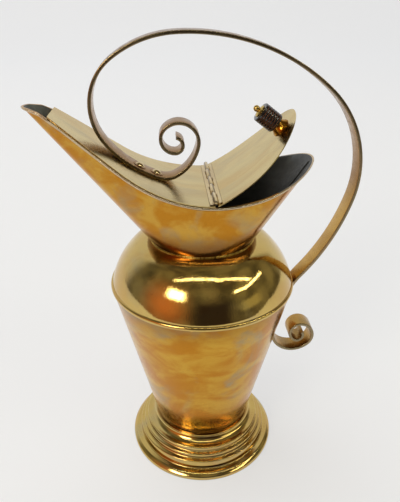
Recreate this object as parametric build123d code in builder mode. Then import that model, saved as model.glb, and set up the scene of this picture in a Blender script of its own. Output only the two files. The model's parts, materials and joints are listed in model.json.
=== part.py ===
# A claret jug in sheet brass: a stepped foot, a tapered body under a domed shoulder, and a wide
# boat-shaped mouth drawn out into a long spout.  A fixed cover closes the front of the mouth, a
# lid hinged across its middle closes the back, and one flat strap, scrolled at both ends, is the
# handle.  The jug stands at the origin with its axis on Z.  The spout points to -X, the handle
# comes down on +X and the hinge runs along Y.

import os
from math import acos, asin, atan2, cos, degrees, hypot, radians, sin, sqrt, tan

from build123d import *

os.makedirs("parts", exist_ok=True)

# ------------------------------------------------------------ driving dimensions, in millimetres
# foot: a base ring, three steps, a hollow moulding and a narrow top that carries the body
foot_sheet = 1.0
foot_radius = 55.0
foot_turn_in = 4.0
base_ring_side = 2.6
base_ring_height = 5.0
base_ring_shoulder = 2.6
first_step_radius = 48.8
first_step_height = 12.2
second_step_radius = 45.8
second_step_height = 16.2
third_step_radius = 43.2
third_step_height = 20.0
tread_slope = 0.5
step_land = 1.0
foot_lip_radius = 36.9
foot_lip_height = 1.6
foot_lip_step = 0.8
foot_height = 26.5
foot_top_opening = 30.0

# body: a plain tapered sheet with a disc soldered in its bottom
body_sheet = 1.0
body_bottom_radius = 35.2
body_top_radius = 62.4
body_height = 115.0
bottom_disc_thickness = 1.2

# shoulder: a spun dome with an upright band at its foot and a collar inside the mouth
shoulder_sheet = 1.0
shoulder_band = 1.9
shoulder_step = 0.8
shoulder_rise = 33.1
shoulder_bulge = 54.0
shoulder_landing = 6.0
shoulder_skirt = 4.0
collar_height = 4.0
bead_proud = 0.6
bead_half_height = 1.7

# mouth: level outlines of four arcs that grow from the round neck to a long oval
neck_radius = 34.2
mouth_wall = 0.9
outline_rise = 87.4
spout_end_radius = 6.6
spout_end_reach = 99.2
back_end_radius = 37.5
back_end_reach = 55.0
side_radius = 214.0

# sheer: the side view of the rim, from its lowest point up to the spout and up to the back
sheer_low_x = 5.1
sheer_low_rise = 34.4
front_sheer_radius = 93.4
spout_slope = 36.9
spout_straight = 45.8
lip_bend_radius = 28.0
back_sheer_radius = 124.5
seam_strip_width = 9.0
seam_strip_thickness = 0.8
strip_clearance = 1.0

# rim moulding, fixed cover and lid
rim_wire_width = 1.0
rim_wire_drop = 1.8
cover_sheet = 0.9
cover_front_x = -89.0
lid_sheet = 0.6
lid_clearance = 0.3
lid_overlap = 0.3
plate_gap = 0.4
rest_opening = 26.8

# hinge: two strips that meet in five knuckles on one pin
leaf_width = 3.5
leaf_thickness = 0.7
barrel_radius = 1.4
barrel_clearance = 0.3
pin_radius = 0.7
bore_clearance = 0.1
knuckle_count = 5
knuckle_gap = 0.3
hinge_half_length = 35.8

# knob on the lid
knob_from_hinge = 53.5
collar_base_radius = 6.0
collar_waist_radius = 4.2
collar_edge = 0.6
collar_hollow = 0.35
knob_collar_height = 4.2
grip_radius = 6.2
grip_length = 12.6
groove_count = 6
groove_depth = 0.45
groove_width = 0.6
finial_radius = 3.9
finial_flange = 0.7
finial_waist_radius = 1.5
finial_button_radius = 2.0
finial_height = 4.9
stud_radius = 1.6
nut_across_flats = 6.0
nut_thickness = 2.2
stud_tail = 0.6

# handle strap: how far it stands off is set by its radii, turning left (+) or right (-)
strap_width = 13.4
strap_thickness = 2.1
strap_saddle = 0.25
seat_slope = 29.8
hoop_turns = (
    (59.91, -25.04),
    (33.58, -87.71),
    (66.43, -34.47),
    (128.54, -44.37),
    (69.49, -64.28),
)
hoop_last_radius = 144.3
shoulder_bend_radius = 40.0
seat_turn = 9.4
scroll_turns = ((12.0, 47.0), (27.2, 51.5), (12.0, 146.1), (8.7, 134.0), (4.8, 173.8))
curl_drop = 45.9
curl_turns = ((12.0, 43.0), (16.1, 103.7), (10.4, 118.5), (7.5, 159.6), (4.3, 170.0))
rivet_spots = (1.1, 12.6)
rivet_head_radius = 2.8
rivet_head_height = 1.9
rivet_shank_radius = 1.5
rivet_tail_radius = 2.4
rivet_tail_height = 1.0
washer_radius = 3.6
washer_thickness = 0.6

# ------------------------------------------------------------------ places worked out from them
body_top_z = foot_height + body_height
taper = atan2(body_top_radius - body_bottom_radius, body_height)
body_wall = body_sheet / cos(taper)
band_top_z = body_top_z + shoulder_band
neck_z = body_top_z + shoulder_rise
outline_z = neck_z + outline_rise
sheer_low_z = neck_z + sheer_low_rise
hinge_z = sheer_low_z + cover_sheet + barrel_clearance + barrel_radius
hinge_axis = Axis((sheer_low_x, 0, hinge_z), (0, -1, 0))


def left_of(heading):
    """The direction a quarter turn to the left of a heading, both in the XZ view."""
    return (-sin(radians(heading)), cos(radians(heading)))


def opened(shape):
    """Swing a piece made for the shut lid to the lid's resting angle."""
    return shape.rotate(hinge_axis, rest_opening)


# ---------------------------------------------------------------------------------- foot and body
def foot_steps(inset):
    """Corners of the base ring and steps, moved in and down by the thickness of the sheet."""
    corners = (
        (foot_radius, base_ring_side),
        (foot_radius - base_ring_shoulder, base_ring_height),
        (first_step_radius, base_ring_height + tread_slope),
        (first_step_radius, first_step_height),
        (second_step_radius, first_step_height + tread_slope),
        (second_step_radius, second_step_height),
        (third_step_radius, second_step_height + tread_slope),
        (third_step_radius, third_step_height),
        (third_step_radius - step_land, third_step_height + tread_slope),
    )
    return [(x - inset, z - inset) for x, z in corners]


lip_z = foot_height - foot_lip_height
hollow_radius = foot_lip_radius - foot_lip_step


def hollow_arc(inset):
    """The hollow moulding, an arc that sags inwards between the top step and the foot's lip."""
    start = foot_steps(inset)[-1]
    end = (hollow_radius - inset, lip_z - inset)
    sag_x = start[0] + (end[0] - start[0]) * 0.68
    sag_z = start[1] + (end[1] - start[1]) * 0.30
    return start, (sag_x, sag_z), end


with BuildPart() as foot:
    with BuildSketch(Plane.XZ):
        with BuildLine():
            Polyline((foot_radius, 0), *foot_steps(0))
            ThreePointArc(*hollow_arc(0))
            Polyline(
                (hollow_radius, lip_z),
                (foot_lip_radius, lip_z),
                (foot_lip_radius, foot_height),
                (foot_top_opening, foot_height),
                (foot_top_opening, foot_height - foot_sheet),
                (hollow_radius - foot_sheet, foot_height - foot_sheet),
                (hollow_radius - foot_sheet, lip_z - foot_sheet),
            )
            ThreePointArc(*hollow_arc(foot_sheet))
            Polyline(
                *reversed(foot_steps(foot_sheet)),
                (foot_radius - foot_sheet, foot_sheet),
                (foot_radius - foot_turn_in, foot_sheet),
                (foot_radius - foot_turn_in, 0),
                (foot_radius, 0),
            )
        make_face()
    revolve(axis=Axis.Z)
foot.part.label = "foot"
export_step(foot.part, "parts/foot.step")

with BuildPart() as body_cone:
    with BuildSketch(Plane.XZ):
        with BuildLine():
            Polyline(
                (body_bottom_radius, foot_height),
                (body_top_radius, body_top_z),
                (body_top_radius - body_wall, body_top_z),
                (body_bottom_radius - body_wall, foot_height),
                close=True,
            )
        make_face()
    revolve(axis=Axis.Z)
body_cone.part.label = "body_cone"
export_step(body_cone.part, "parts/body_cone.step")

# the space taken up by the body, which other pieces are fitted to
with BuildPart() as body_block:
    with BuildSketch(Plane.XY.offset(foot_height)):
        Circle(body_bottom_radius)
    with BuildSketch(Plane.XY.offset(body_top_z)):
        Circle(body_top_radius)
    loft(ruled=True)
body_outside = body_block.part

with BuildPart() as bottom_disc:
    with BuildSketch(Plane.XY.offset(foot_height)):
        Circle(body_bottom_radius - body_wall)
    extrude(amount=bottom_disc_thickness)
bottom_disc.part.label = "bottom_disc"
export_step(bottom_disc.part, "parts/bottom_disc.step")

# The dome's side is one arc.  Its sheet stands on the body's top edge with a skirt set inside the
# body, and at the neck it turns level for the mouth to stand on and then up, as a collar inside
# the mouth.
band_radius = body_top_radius - shoulder_step
skirt_radius = body_top_radius - body_wall
skirt_lean = shoulder_skirt * tan(taper)
landing_radius = neck_radius + shoulder_landing
collar_radius = neck_radius - mouth_wall


def dome_arc(inset):
    """The dome's arc from the top of its band to the landing, or its inner face."""
    start = (band_radius - inset, band_top_z)
    end = (landing_radius - inset * 0.5, neck_z - inset)
    half = hypot(end[0] - start[0], end[1] - start[1]) / 2
    rise = shoulder_bulge - sqrt(shoulder_bulge**2 - half**2)
    along = atan2(end[1] - start[1], end[0] - start[0])
    middle_x = (start[0] + end[0]) / 2 + rise * sin(along)
    middle_z = (start[1] + end[1]) / 2 - rise * cos(along)
    return start, (middle_x, middle_z), end


with BuildPart() as shoulder:
    with BuildSketch(Plane.XZ):
        with BuildLine():
            Line((band_radius, body_top_z), (band_radius, band_top_z))
            ThreePointArc(*dome_arc(0))
            inner_end = dome_arc(shoulder_sheet)[2]
            Polyline(
                (landing_radius, neck_z),
                (collar_radius, neck_z),
                (collar_radius, neck_z + collar_height),
                (collar_radius - shoulder_sheet, neck_z + collar_height),
                (collar_radius - shoulder_sheet, neck_z - shoulder_sheet),
                inner_end,
            )
            ThreePointArc(*dome_arc(shoulder_sheet))
            Polyline(
                (band_radius - shoulder_sheet, band_top_z),
                (skirt_radius - shoulder_sheet, body_top_z),
                (skirt_radius - skirt_lean - shoulder_sheet, body_top_z - shoulder_skirt),
                (skirt_radius - skirt_lean, body_top_z - shoulder_skirt),
                (skirt_radius, body_top_z),
                (band_radius, body_top_z),
            )
        make_face()
    revolve(axis=Axis.Z)
shoulder.part.label = "shoulder"
export_step(shoulder.part, "parts/shoulder.step")

# A half-round moulding hides the joint between body and shoulder.
bead_foot_radius = body_top_radius - bead_half_height * tan(taper)

with BuildPart() as shoulder_bead:
    with BuildSketch(Plane.XZ):
        with BuildLine():
            Polyline(
                (band_radius, body_top_z + bead_half_height),
                (band_radius, body_top_z),
                (body_top_radius, body_top_z),
                (bead_foot_radius, body_top_z - bead_half_height),
            )
            ThreePointArc(
                (bead_foot_radius, body_top_z - bead_half_height),
                (body_top_radius + bead_proud, body_top_z),
                (band_radius, body_top_z + bead_half_height),
            )
        make_face()
    revolve(axis=Axis.Z)
shoulder_bead.part.label = "shoulder_bead"
export_step(shoulder_bead.part, "parts/shoulder_bead.step")


# ----------------------------------------------------------------------------- mouth and its rim
def mouth_outline(height, allowance=0.0):
    """One level outline of the mouth: a spout end, a back end and two long sides, all arcs.

    Each arc's radius and centre grow evenly from the round neck, so that every arc keeps its
    directions at all heights and the sheet between two levels is straight along its slope.
    """
    blend = (height - neck_z) / outline_rise
    round_part = (1 - blend) * neck_radius + allowance
    spout_radius = round_part + blend * spout_end_radius
    back_radius = round_part + blend * back_end_radius
    flank_radius = round_part + blend * side_radius
    spout_x = -blend * spout_end_reach
    back_x = blend * back_end_reach

    # centre of the flank arc, inside which both end arcs touch; scaled from the full outline
    span = spout_end_reach + back_end_reach
    to_spout = side_radius - spout_end_radius
    to_back = side_radius - back_end_radius
    along = (to_spout**2 - to_back**2 + span**2) / (2 * span)
    across = sqrt(to_spout**2 - along**2)
    spout_turn = atan2(across, -along)
    back_turn = atan2(across, span - along)
    flank_x = blend * (along - spout_end_reach)
    flank_y = -blend * across

    def on_arc(x, y, radius, turn):
        return (x + radius * cos(turn), y + radius * sin(turn), height)

    spout_joint = on_arc(spout_x, 0, spout_radius, spout_turn)
    spout_far_joint = on_arc(spout_x, 0, spout_radius, -spout_turn)
    back_joint = on_arc(back_x, 0, back_radius, back_turn)
    back_far_joint = on_arc(back_x, 0, back_radius, -back_turn)
    flank = on_arc(flank_x, flank_y, flank_radius, (spout_turn + back_turn) / 2)
    far_flank = (flank[0], -flank[1], height)
    with BuildLine():
        arcs = [
            ThreePointArc(back_far_joint, (back_x + back_radius, 0, height), back_joint),
            ThreePointArc(back_joint, flank, spout_joint),
            ThreePointArc(spout_joint, (spout_x - spout_radius, 0, height), spout_far_joint),
            ThreePointArc(spout_far_joint, far_flank, back_far_joint),
        ]
    return [arc.edge() for arc in arcs]


slope = radians(spout_slope)
# blocks that only cut other pieces run this far beyond the mouth on every side
spare = 20.0
past_top_z = outline_z + spare
past_spout_x = -(spout_end_reach + spout_end_radius + spare)
past_back_x = back_end_reach + back_end_radius + spare
past_side = back_end_radius + spare


def sheer_joints(lift):
    """Points of the sheer line, raised by lift: back end, low point, bend, straight, lip."""
    back_turn_angle = asin((past_back_x - sheer_low_x) / back_sheer_radius)
    back = back_sheer_radius - lift
    front = front_sheer_radius - lift
    back_centre_z = sheer_low_z + back_sheer_radius
    front_centre_z = sheer_low_z + front_sheer_radius
    straight_start = (sheer_low_x - front * sin(slope), front_centre_z - front * cos(slope))
    straight_end = (
        straight_start[0] - spout_straight * cos(slope),
        straight_start[1] + spout_straight * sin(slope),
    )
    lip = lip_bend_radius + lift
    lip_end = (
        straight_end[0] - lip * sin(slope),
        straight_end[1] + lip * (1 - cos(slope)),
    )
    return {
        "back": (
            sheer_low_x + back * sin(back_turn_angle),
            back_centre_z - back * cos(back_turn_angle),
        ),
        "back_middle": (
            sheer_low_x + back * sin(back_turn_angle / 2),
            back_centre_z - back * cos(back_turn_angle / 2),
        ),
        "low": (sheer_low_x, sheer_low_z + lift),
        "front_middle": (
            sheer_low_x - front * sin(slope / 2),
            front_centre_z - front * cos(slope / 2),
        ),
        "straight_start": straight_start,
        "straight_end": straight_end,
        "lip_middle": (
            straight_end[0] - lip * (sin(slope) - sin(slope / 2)),
            straight_end[1] + lip * (cos(slope / 2) - cos(slope)),
        ),
        "lip_end": lip_end,
        "front": (past_spout_x, lip_end[1]),
    }


def sheer_line(lift):
    """Draw the sheer line raised by lift, from the back of the mouth to beyond the spout."""
    at = sheer_joints(lift)
    ThreePointArc(at["back"], at["back_middle"], at["low"])
    ThreePointArc(at["low"], at["front_middle"], at["straight_start"])
    Line(at["straight_start"], at["straight_end"])
    ThreePointArc(at["straight_end"], at["lip_middle"], at["lip_end"])
    Line(at["lip_end"], at["front"])
    return at


def sheer_band(low_lift, high_lift, from_x=past_spout_x, to_x=past_back_x):
    """A slab as wide as the mouth that follows the sheer between two lifts and two stations."""
    with BuildPart() as band:
        with BuildSketch(Plane.XZ):
            with BuildLine():
                low = sheer_line(low_lift)
                high = sheer_line(high_lift)
                Line(low["back"], high["back"])
                Line(low["front"], high["front"])
            make_face()
        extrude(amount=past_side, both=True)
        with BuildSketch(Plane.XZ):
            with Locations(((from_x + to_x) / 2, outline_z)):
                Rectangle(to_x - from_x, 2 * outline_rise)
        extrude(amount=past_side, both=True, mode=Mode.INTERSECT)
    return band.part


def above_sheer(lift):
    """Everything over the sheer line raised by lift."""
    with BuildPart() as space:
        with BuildSketch(Plane.XZ):
            with BuildLine():
                at = sheer_line(lift)
                Polyline(
                    at["front"],
                    (past_spout_x, past_top_z + spare),
                    (at["back"][0], past_top_z + spare),
                    at["back"],
                )
            make_face()
        extrude(amount=past_side, both=True)
    return space.part


def mouth_body(allowance=0.0):
    """The mouth as a solid block from the neck to above the spout, grown by allowance."""
    low = mouth_outline(neck_z, allowance)
    high = mouth_outline(past_top_z, allowance)
    walls = [Face.make_surface_from_curves(start, end) for start, end in zip(low, high)]
    ends = [Face(Wire(low)), Face(Wire(high))]
    return Solid(Shell(walls + ends))


mouth_block = mouth_body()
mouth_bore = mouth_body(-mouth_wall)
open_air = above_sheer(0)

with BuildPart() as mouth:
    add(mouth_block)
    add(mouth_bore, mode=Mode.SUBTRACT)
    add(open_air, mode=Mode.SUBTRACT)
mouth.part.label = "mouth"
export_step(mouth.part, "parts/mouth.step")

# The sheet closes down the back, over a strip soldered inside.
with BuildPart() as seam_strip:
    strip_low_z = neck_z + collar_height + strip_clearance
    with Locations((0, 0, strip_low_z)):
        Box(
            past_back_x,
            seam_strip_width,
            outline_rise,
            align=(Align.MIN, Align.CENTER, Align.MIN),
        )
    add(mouth_bore, mode=Mode.INTERSECT)
    add(open_air, mode=Mode.SUBTRACT)
    add(mouth_body(-mouth_wall - seam_strip_thickness), mode=Mode.SUBTRACT)
seam_strip.part.label = "seam_strip"
export_step(seam_strip.part, "parts/seam_strip.step")

# A plain moulding is soldered round the outside of the rim, level with the edge of the sheet.
with BuildPart() as rim_wire:
    add(mouth_body(rim_wire_width))
    add(mouth_block, mode=Mode.SUBTRACT)
    add(sheer_band(-rim_wire_drop, 0), mode=Mode.INTERSECT)
rim_wire.part.label = "rim_wire"
export_step(rim_wire.part, "parts/rim_wire.step")

# ------------------------------------------------------------------------------ handle strap path
front_centre = (sheer_low_x, sheer_low_z + front_sheer_radius)
seat_radius = front_sheer_radius - cover_sheet - strap_thickness / 2
seat_point = (
    front_centre[0] - seat_radius * sin(radians(seat_slope)),
    front_centre[1] - seat_radius * cos(radians(seat_slope)),
)


def walk(point, heading, turns):
    """Lay arcs nose to tail; give each one's start, heading, radius and turn, then the end."""
    pieces = []
    x, z = point
    for radius, turn in turns:
        pieces.append(((x, z), heading, radius, turn))
        side = 1 if turn > 0 else -1
        before = left_of(heading)
        heading += turn
        after = left_of(heading)
        x += side * radius * (before[0] - after[0])
        z += side * radius * (before[1] - after[1])
    return pieces, (x, z), heading


def strap_edge(pieces, offset):
    """One long edge of the strap, drawn a distance to the left of its middle line."""
    for (x, z), heading, radius, turn in pieces:
        across = left_of(heading)
        start = (x + offset * across[0], z + offset * across[1])
        along = (cos(radians(heading)), sin(radians(heading)))
        side = 1 if turn > 0 else -1
        JernArc(start, along, radius - side * offset, turn)


def beside(point, heading, offset):
    """A point moved a distance to the left of a heading."""
    across = left_of(heading)
    return (point[0] + offset * across[0], point[1] + offset * across[1])


def strap_run(pieces, end, end_heading):
    """One run of strap with square ends."""
    half = strap_thickness / 2
    start, start_heading = pieces[0][0], pieces[0][1]
    with BuildPart() as run:
        with BuildSketch(Plane.XZ):
            with BuildLine():
                strap_edge(pieces, half)
                strap_edge(pieces, -half)
                Line(beside(start, start_heading, half), beside(start, start_heading, -half))
                Line(beside(end, end_heading, half), beside(end, end_heading, -half))
            make_face()
        extrude(amount=strap_width / 2, both=True)
    return run.part


# The last bends of the hoop bring the strap down on to the body's slope, one to the right and one
# to the left; the heading between them follows from how far the strap's middle lies off the body.
body_heading = -90.0 - degrees(taper)
body_side = left_of(body_heading)
body_line = body_side[0] * body_bottom_radius + body_side[1] * foot_height
hoop, hoop_end, hoop_heading = walk(seat_point, 180.0 - seat_slope, hoop_turns)
hoop_off = body_side[0] * hoop_end[0] + body_side[1] * hoop_end[1]
meeting = (
    body_line
    + strap_thickness / 2
    - strap_saddle
    - hoop_off
    + hoop_last_radius * cos(radians(hoop_heading - body_heading))
    + shoulder_bend_radius
) / (hoop_last_radius + shoulder_bend_radius)
steepest_heading = body_heading - degrees(acos(meeting))
final_turns = (
    (hoop_last_radius, steepest_heading - hoop_heading),
    (shoulder_bend_radius, body_heading - steepest_heading),
)
landing, body_seat_top, _ = walk(hoop_end, hoop_heading, final_turns)
curl_start = (
    body_seat_top[0] + (body_top_z - curl_drop - body_seat_top[1]) * tan(taper),
    body_top_z - curl_drop,
)
curl, curl_end, curl_heading = walk(curl_start, body_heading, curl_turns)
seat_and_scroll = ((seat_radius, seat_turn),) + scroll_turns
scroll, scroll_end, scroll_heading = walk(seat_point, -seat_slope, seat_and_scroll)

# ------------------------------------------------------------------------------ cover and lid
# The strap lies flush on the cover between its two bends, and rivets stand square to both there.
def rivet_plane(spot):
    """A plane on top of the strap, a distance along its seat, facing away from the cover."""
    lean = radians(seat_slope) - spot / seat_radius
    reach = seat_radius - strap_thickness / 2
    top = (front_centre[0] - reach * sin(lean), 0, front_centre[1] - reach * cos(lean))
    return Plane(origin=top, x_dir=(0, 1, 0), z_dir=(sin(lean), 0, cos(lean)))


rivet_planes = [rivet_plane(spot) for spot in rivet_spots]
cover_depth = strap_thickness + cover_sheet

# shank holes through strap and cover, with the strap spot-faced flat under each head
with BuildPart() as rivet_space:
    for plane in rivet_planes:
        with BuildSketch(plane):
            Circle(rivet_shank_radius)
        extrude(amount=-2 * cover_depth)
        with BuildSketch(plane):
            Circle(rivet_head_radius)
        extrude(amount=rivet_head_height)

with BuildPart() as spout_cover:
    add(mouth_body(0))
    add(
        sheer_band(0, cover_sheet, cover_front_x, sheer_low_x - plate_gap), mode=Mode.INTERSECT
    )
    add(rivet_space.part, mode=Mode.SUBTRACT)
spout_cover.part.label = "spout_cover"
export_step(spout_cover.part, "parts/spout_cover.step")

# The lid and everything on it are made for the shut position and then swung open.
lid_lift = lid_clearance + lid_sheet
knob_lean = asin(knob_from_hinge / (back_sheer_radius - lid_lift))
knob_up = (-sin(knob_lean), 0, cos(knob_lean))
knob_foot = (
    sheer_low_x + knob_from_hinge,
    0,
    sheer_low_z + back_sheer_radius - (back_sheer_radius - lid_lift) * cos(knob_lean),
)
knob_seat = Plane(origin=knob_foot, x_dir=(0, 1, 0), z_dir=knob_up)


# the hole for the knob's stud through everything that it clamps
with BuildPart() as stud_hole:
    with BuildSketch(knob_seat):
        Circle(stud_radius)
    extrude(amount=knob_collar_height + grip_length, both=True)

with BuildPart() as lid_plate:
    add(mouth_body(lid_overlap))
    add(
        sheer_band(lid_clearance, lid_lift, sheer_low_x + plate_gap),
        mode=Mode.INTERSECT,
    )
    add(stud_hole.part, mode=Mode.SUBTRACT)
shut_lid = lid_plate.part

with BuildPart() as lid:
    add(opened(shut_lid))
lid.part.label = "lid"
export_step(lid.part, "parts/lid.step")

# ---------------------------------------------------------------------------------------- hinge
knuckle_pitch = 2 * hinge_half_length / knuckle_count
knuckle_reach = barrel_radius + barrel_clearance


def hinge_leaf(plate, side, parity, bore):
    """A strip on a plate, with a barrel cut away where the other leaf's knuckles turn.

    side is -1 towards the spout and +1 towards the back.  The strip's underside is fitted to the
    curved plate it is soldered to.
    """
    with BuildPart() as leaf:
        with BuildSketch(Plane.XZ.offset(-hinge_half_length)):
            with Locations((sheer_low_x + side * leaf_width / 2, hinge_z - knuckle_reach)):
                Rectangle(leaf_width, leaf_thickness, align=(Align.CENTER, Align.MIN))
            with Locations((sheer_low_x, hinge_z)):
                Circle(barrel_radius)
        extrude(amount=2 * hinge_half_length)
        for number in range(knuckle_count):
            if number % 2 != parity:
                middle = (number + 0.5) * knuckle_pitch - hinge_half_length
                with Locations((sheer_low_x, middle, hinge_z)):
                    Box(
                        2 * knuckle_reach,
                        knuckle_pitch + knuckle_gap,
                        2 * knuckle_reach,
                        mode=Mode.SUBTRACT,
                    )
        with BuildSketch(Plane.XZ.offset(-hinge_half_length)):
            with Locations((sheer_low_x, hinge_z)):
                Circle(bore)
        extrude(amount=2 * hinge_half_length, mode=Mode.SUBTRACT)
        add(plate, mode=Mode.SUBTRACT)
    return leaf.part


with BuildPart() as hinge_leaf_fixed:
    add(hinge_leaf(spout_cover.part, -1, 0, pin_radius))
hinge_leaf_fixed.part.label = "hinge_leaf_fixed"
export_step(hinge_leaf_fixed.part, "parts/hinge_leaf_fixed.step")

with BuildPart() as hinge_leaf_lid:
    add(opened(hinge_leaf(shut_lid, 1, 1, pin_radius + bore_clearance)))
hinge_leaf_lid.part.label = "hinge_leaf_lid"
export_step(hinge_leaf_lid.part, "parts/hinge_leaf_lid.step")

with BuildPart() as hinge_pin:
    with BuildSketch(Plane.XZ.offset(-hinge_half_length)):
        with Locations((sheer_low_x, hinge_z)):
            Circle(pin_radius)
    extrude(amount=2 * hinge_half_length)
hinge_pin.part.label = "hinge_pin"
export_step(hinge_pin.part, "parts/hinge_pin.step")

# ----------------------------------------------------------------------------------------- knob
# A flared collar, a grooved wooden grip and a small finial whose stud holds all three to the lid.
# Each is turned upright on the origin and then stood on its seat.
grip_top = knob_collar_height + grip_length
groove_pitch = grip_length / (groove_count + 1)
finial_top = grip_top + finial_height
button_middle = finial_top - finial_button_radius
button_low = button_middle - sqrt(finial_button_radius**2 - finial_waist_radius**2)
stud_end = -lid_sheet - nut_thickness - stud_tail


def on_lid(turned):
    """Stand an upright piece on the lid's knob seat and swing it open with the lid."""
    return opened(turned.moved(knob_seat.location))


with BuildPart() as collar_blank:
    with BuildSketch(Plane.XZ):
        with BuildLine():
            Polyline(
                (collar_waist_radius, knob_collar_height),
                (stud_radius, knob_collar_height),
                (stud_radius, -collar_edge),
                (collar_base_radius, -collar_edge),
                (collar_base_radius, collar_edge),
            )
            ThreePointArc(
                (collar_base_radius, collar_edge),
                (
                    (collar_base_radius + collar_waist_radius) / 2 - collar_hollow,
                    (collar_edge + knob_collar_height) / 2,
                ),
                (collar_waist_radius, knob_collar_height),
            )
        make_face()
    revolve(axis=Axis.Z)

with BuildPart() as collar_fitted:
    with Locations(knob_seat.location):
        add(collar_blank.part)
    add(sheer_band(-collar_edge - lid_lift, lid_lift), mode=Mode.SUBTRACT)

with BuildPart() as knob_collar:
    add(opened(collar_fitted.part))
knob_collar.part.label = "knob_collar"
export_step(knob_collar.part, "parts/knob_collar.step")

with BuildPart() as grip_blank:
    with BuildSketch(Plane.XZ):
        with Locations((stud_radius, knob_collar_height)):
            Rectangle(grip_radius - stud_radius, grip_length, align=(Align.MIN, Align.MIN))
        for number in range(groove_count):
            with Locations((grip_radius, knob_collar_height + (number + 1) * groove_pitch)):
                Rectangle(2 * groove_depth, groove_width, mode=Mode.SUBTRACT)
    revolve(axis=Axis.Z)

with BuildPart() as knob_grip:
    add(on_lid(grip_blank.part))
knob_grip.part.label = "knob_grip"
export_step(knob_grip.part, "parts/knob_grip.step")

with BuildPart() as finial_blank:
    with BuildSketch(Plane.XZ):
        with BuildLine():
            Polyline(
                (0, stud_end),
                (stud_radius, stud_end),
                (stud_radius, grip_top),
                (finial_radius, grip_top),
                (finial_radius, grip_top + finial_flange),
                (finial_waist_radius, button_low),
            )
            ThreePointArc(
                (finial_waist_radius, button_low),
                (finial_button_radius, button_middle),
                (0, finial_top),
            )
            Line((0, finial_top), (0, stud_end))
        make_face()
    revolve(axis=Axis.Z)

with BuildPart() as knob_finial:
    add(on_lid(finial_blank.part))
knob_finial.part.label = "knob_finial"
export_step(knob_finial.part, "parts/knob_finial.step")

with BuildPart() as nut_blank:
    with BuildSketch(Plane.XY.offset(-lid_sheet)):
        RegularPolygon(nut_across_flats / 2, 6, major_radius=False)
        Circle(stud_radius, mode=Mode.SUBTRACT)
    extrude(amount=-nut_thickness)

with BuildPart() as knob_nut:
    add(on_lid(nut_blank.part))
knob_nut.part.label = "knob_nut"
export_step(knob_nut.part, "parts/knob_nut.step")

# --------------------------------------------------------------------------------------- handle
# One strap: the hoop rises from the seat and comes down on the body, where its underside is
# filed to a saddle and soldered; a curl ends it below and a scroll ends it above.
with BuildPart() as handle_strap:
    add(strap_run(hoop + landing, body_seat_top, body_heading))
    with BuildSketch(Plane.XZ):
        with BuildLine():
            Polyline(
                beside(body_seat_top, body_heading, strap_thickness / 2),
                beside(curl_start, body_heading, strap_thickness / 2),
                beside(curl_start, body_heading, -strap_thickness / 2),
                beside(body_seat_top, body_heading, -strap_thickness / 2),
                close=True,
            )
        make_face()
    extrude(amount=strap_width / 2, both=True)
    add(strap_run(curl, curl_end, curl_heading))
    add(strap_run(scroll, scroll_end, scroll_heading))
    add(body_outside, mode=Mode.SUBTRACT)
    add(rivet_space.part, mode=Mode.SUBTRACT)
handle_strap.part.label = "handle_strap"
export_step(handle_strap.part, "parts/handle_strap.step")


def cap_middle(radius, height):
    """The point halfway up the side of a spherical cap."""
    sphere = (radius**2 + height**2) / (2 * height)
    turn = acos((sphere - height) / sphere) / 2
    return (sphere * sin(turn), height - sphere * (1 - cos(turn)))


def rivet(grip):
    """An upright rivet that clamps this much metal below its head's seat."""
    with BuildPart() as shape:
        with BuildSketch(Plane.XZ):
            with BuildLine():
                Polyline(
                    (0, rivet_head_height),
                    (0, -grip - rivet_tail_height),
                    (rivet_tail_radius, -grip - rivet_tail_height),
                    (rivet_tail_radius, -grip),
                    (rivet_shank_radius, -grip),
                    (rivet_shank_radius, 0),
                    (rivet_head_radius, 0),
                )
                ThreePointArc(
                    (rivet_head_radius, 0),
                    cap_middle(rivet_head_radius, rivet_head_height),
                    (0, rivet_head_height),
                )
            make_face()
        revolve(axis=Axis.Z)
    return shape.part


with BuildPart() as strap_rivets:
    for plane in rivet_planes:
        with Locations(plane.location):
            add(rivet(cover_depth + washer_thickness))
strap_rivets.part.label = "strap_rivets"
export_step(strap_rivets.part, "parts/strap_rivets.step")

with BuildPart() as rivet_washers:
    for plane in rivet_planes:
        with BuildSketch(plane.offset(-cover_depth)):
            Circle(washer_radius)
            Circle(rivet_shank_radius, mode=Mode.SUBTRACT)
        extrude(amount=-washer_thickness)
rivet_washers.part.label = "rivet_washers"
export_step(rivet_washers.part, "parts/rivet_washers.step")
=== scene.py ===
# %% [markdown]
# # A brass claret jug
#
# You will build the jug's finished look on top of its CAD frame. The frame already has every
# piece in its right place, so each new piece only has to follow it: you draw a finer mesh in the
# same coordinates, say which CAD node it stands for, and say which body it rides on.
#
# The jug stands at the origin with its axis on Z. The spout points to -X, the handle comes down
# on +X and the hinge runs along Y. Meshes are in metres, and sizes are written in millimetres.

import json
from math import acos, asin, atan2, cos, degrees, hypot, pi, radians, sin, sqrt, tan

import bmesh
import bpy
from mathutils import Matrix, Vector
from mathutils.kdtree import KDTree


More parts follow.
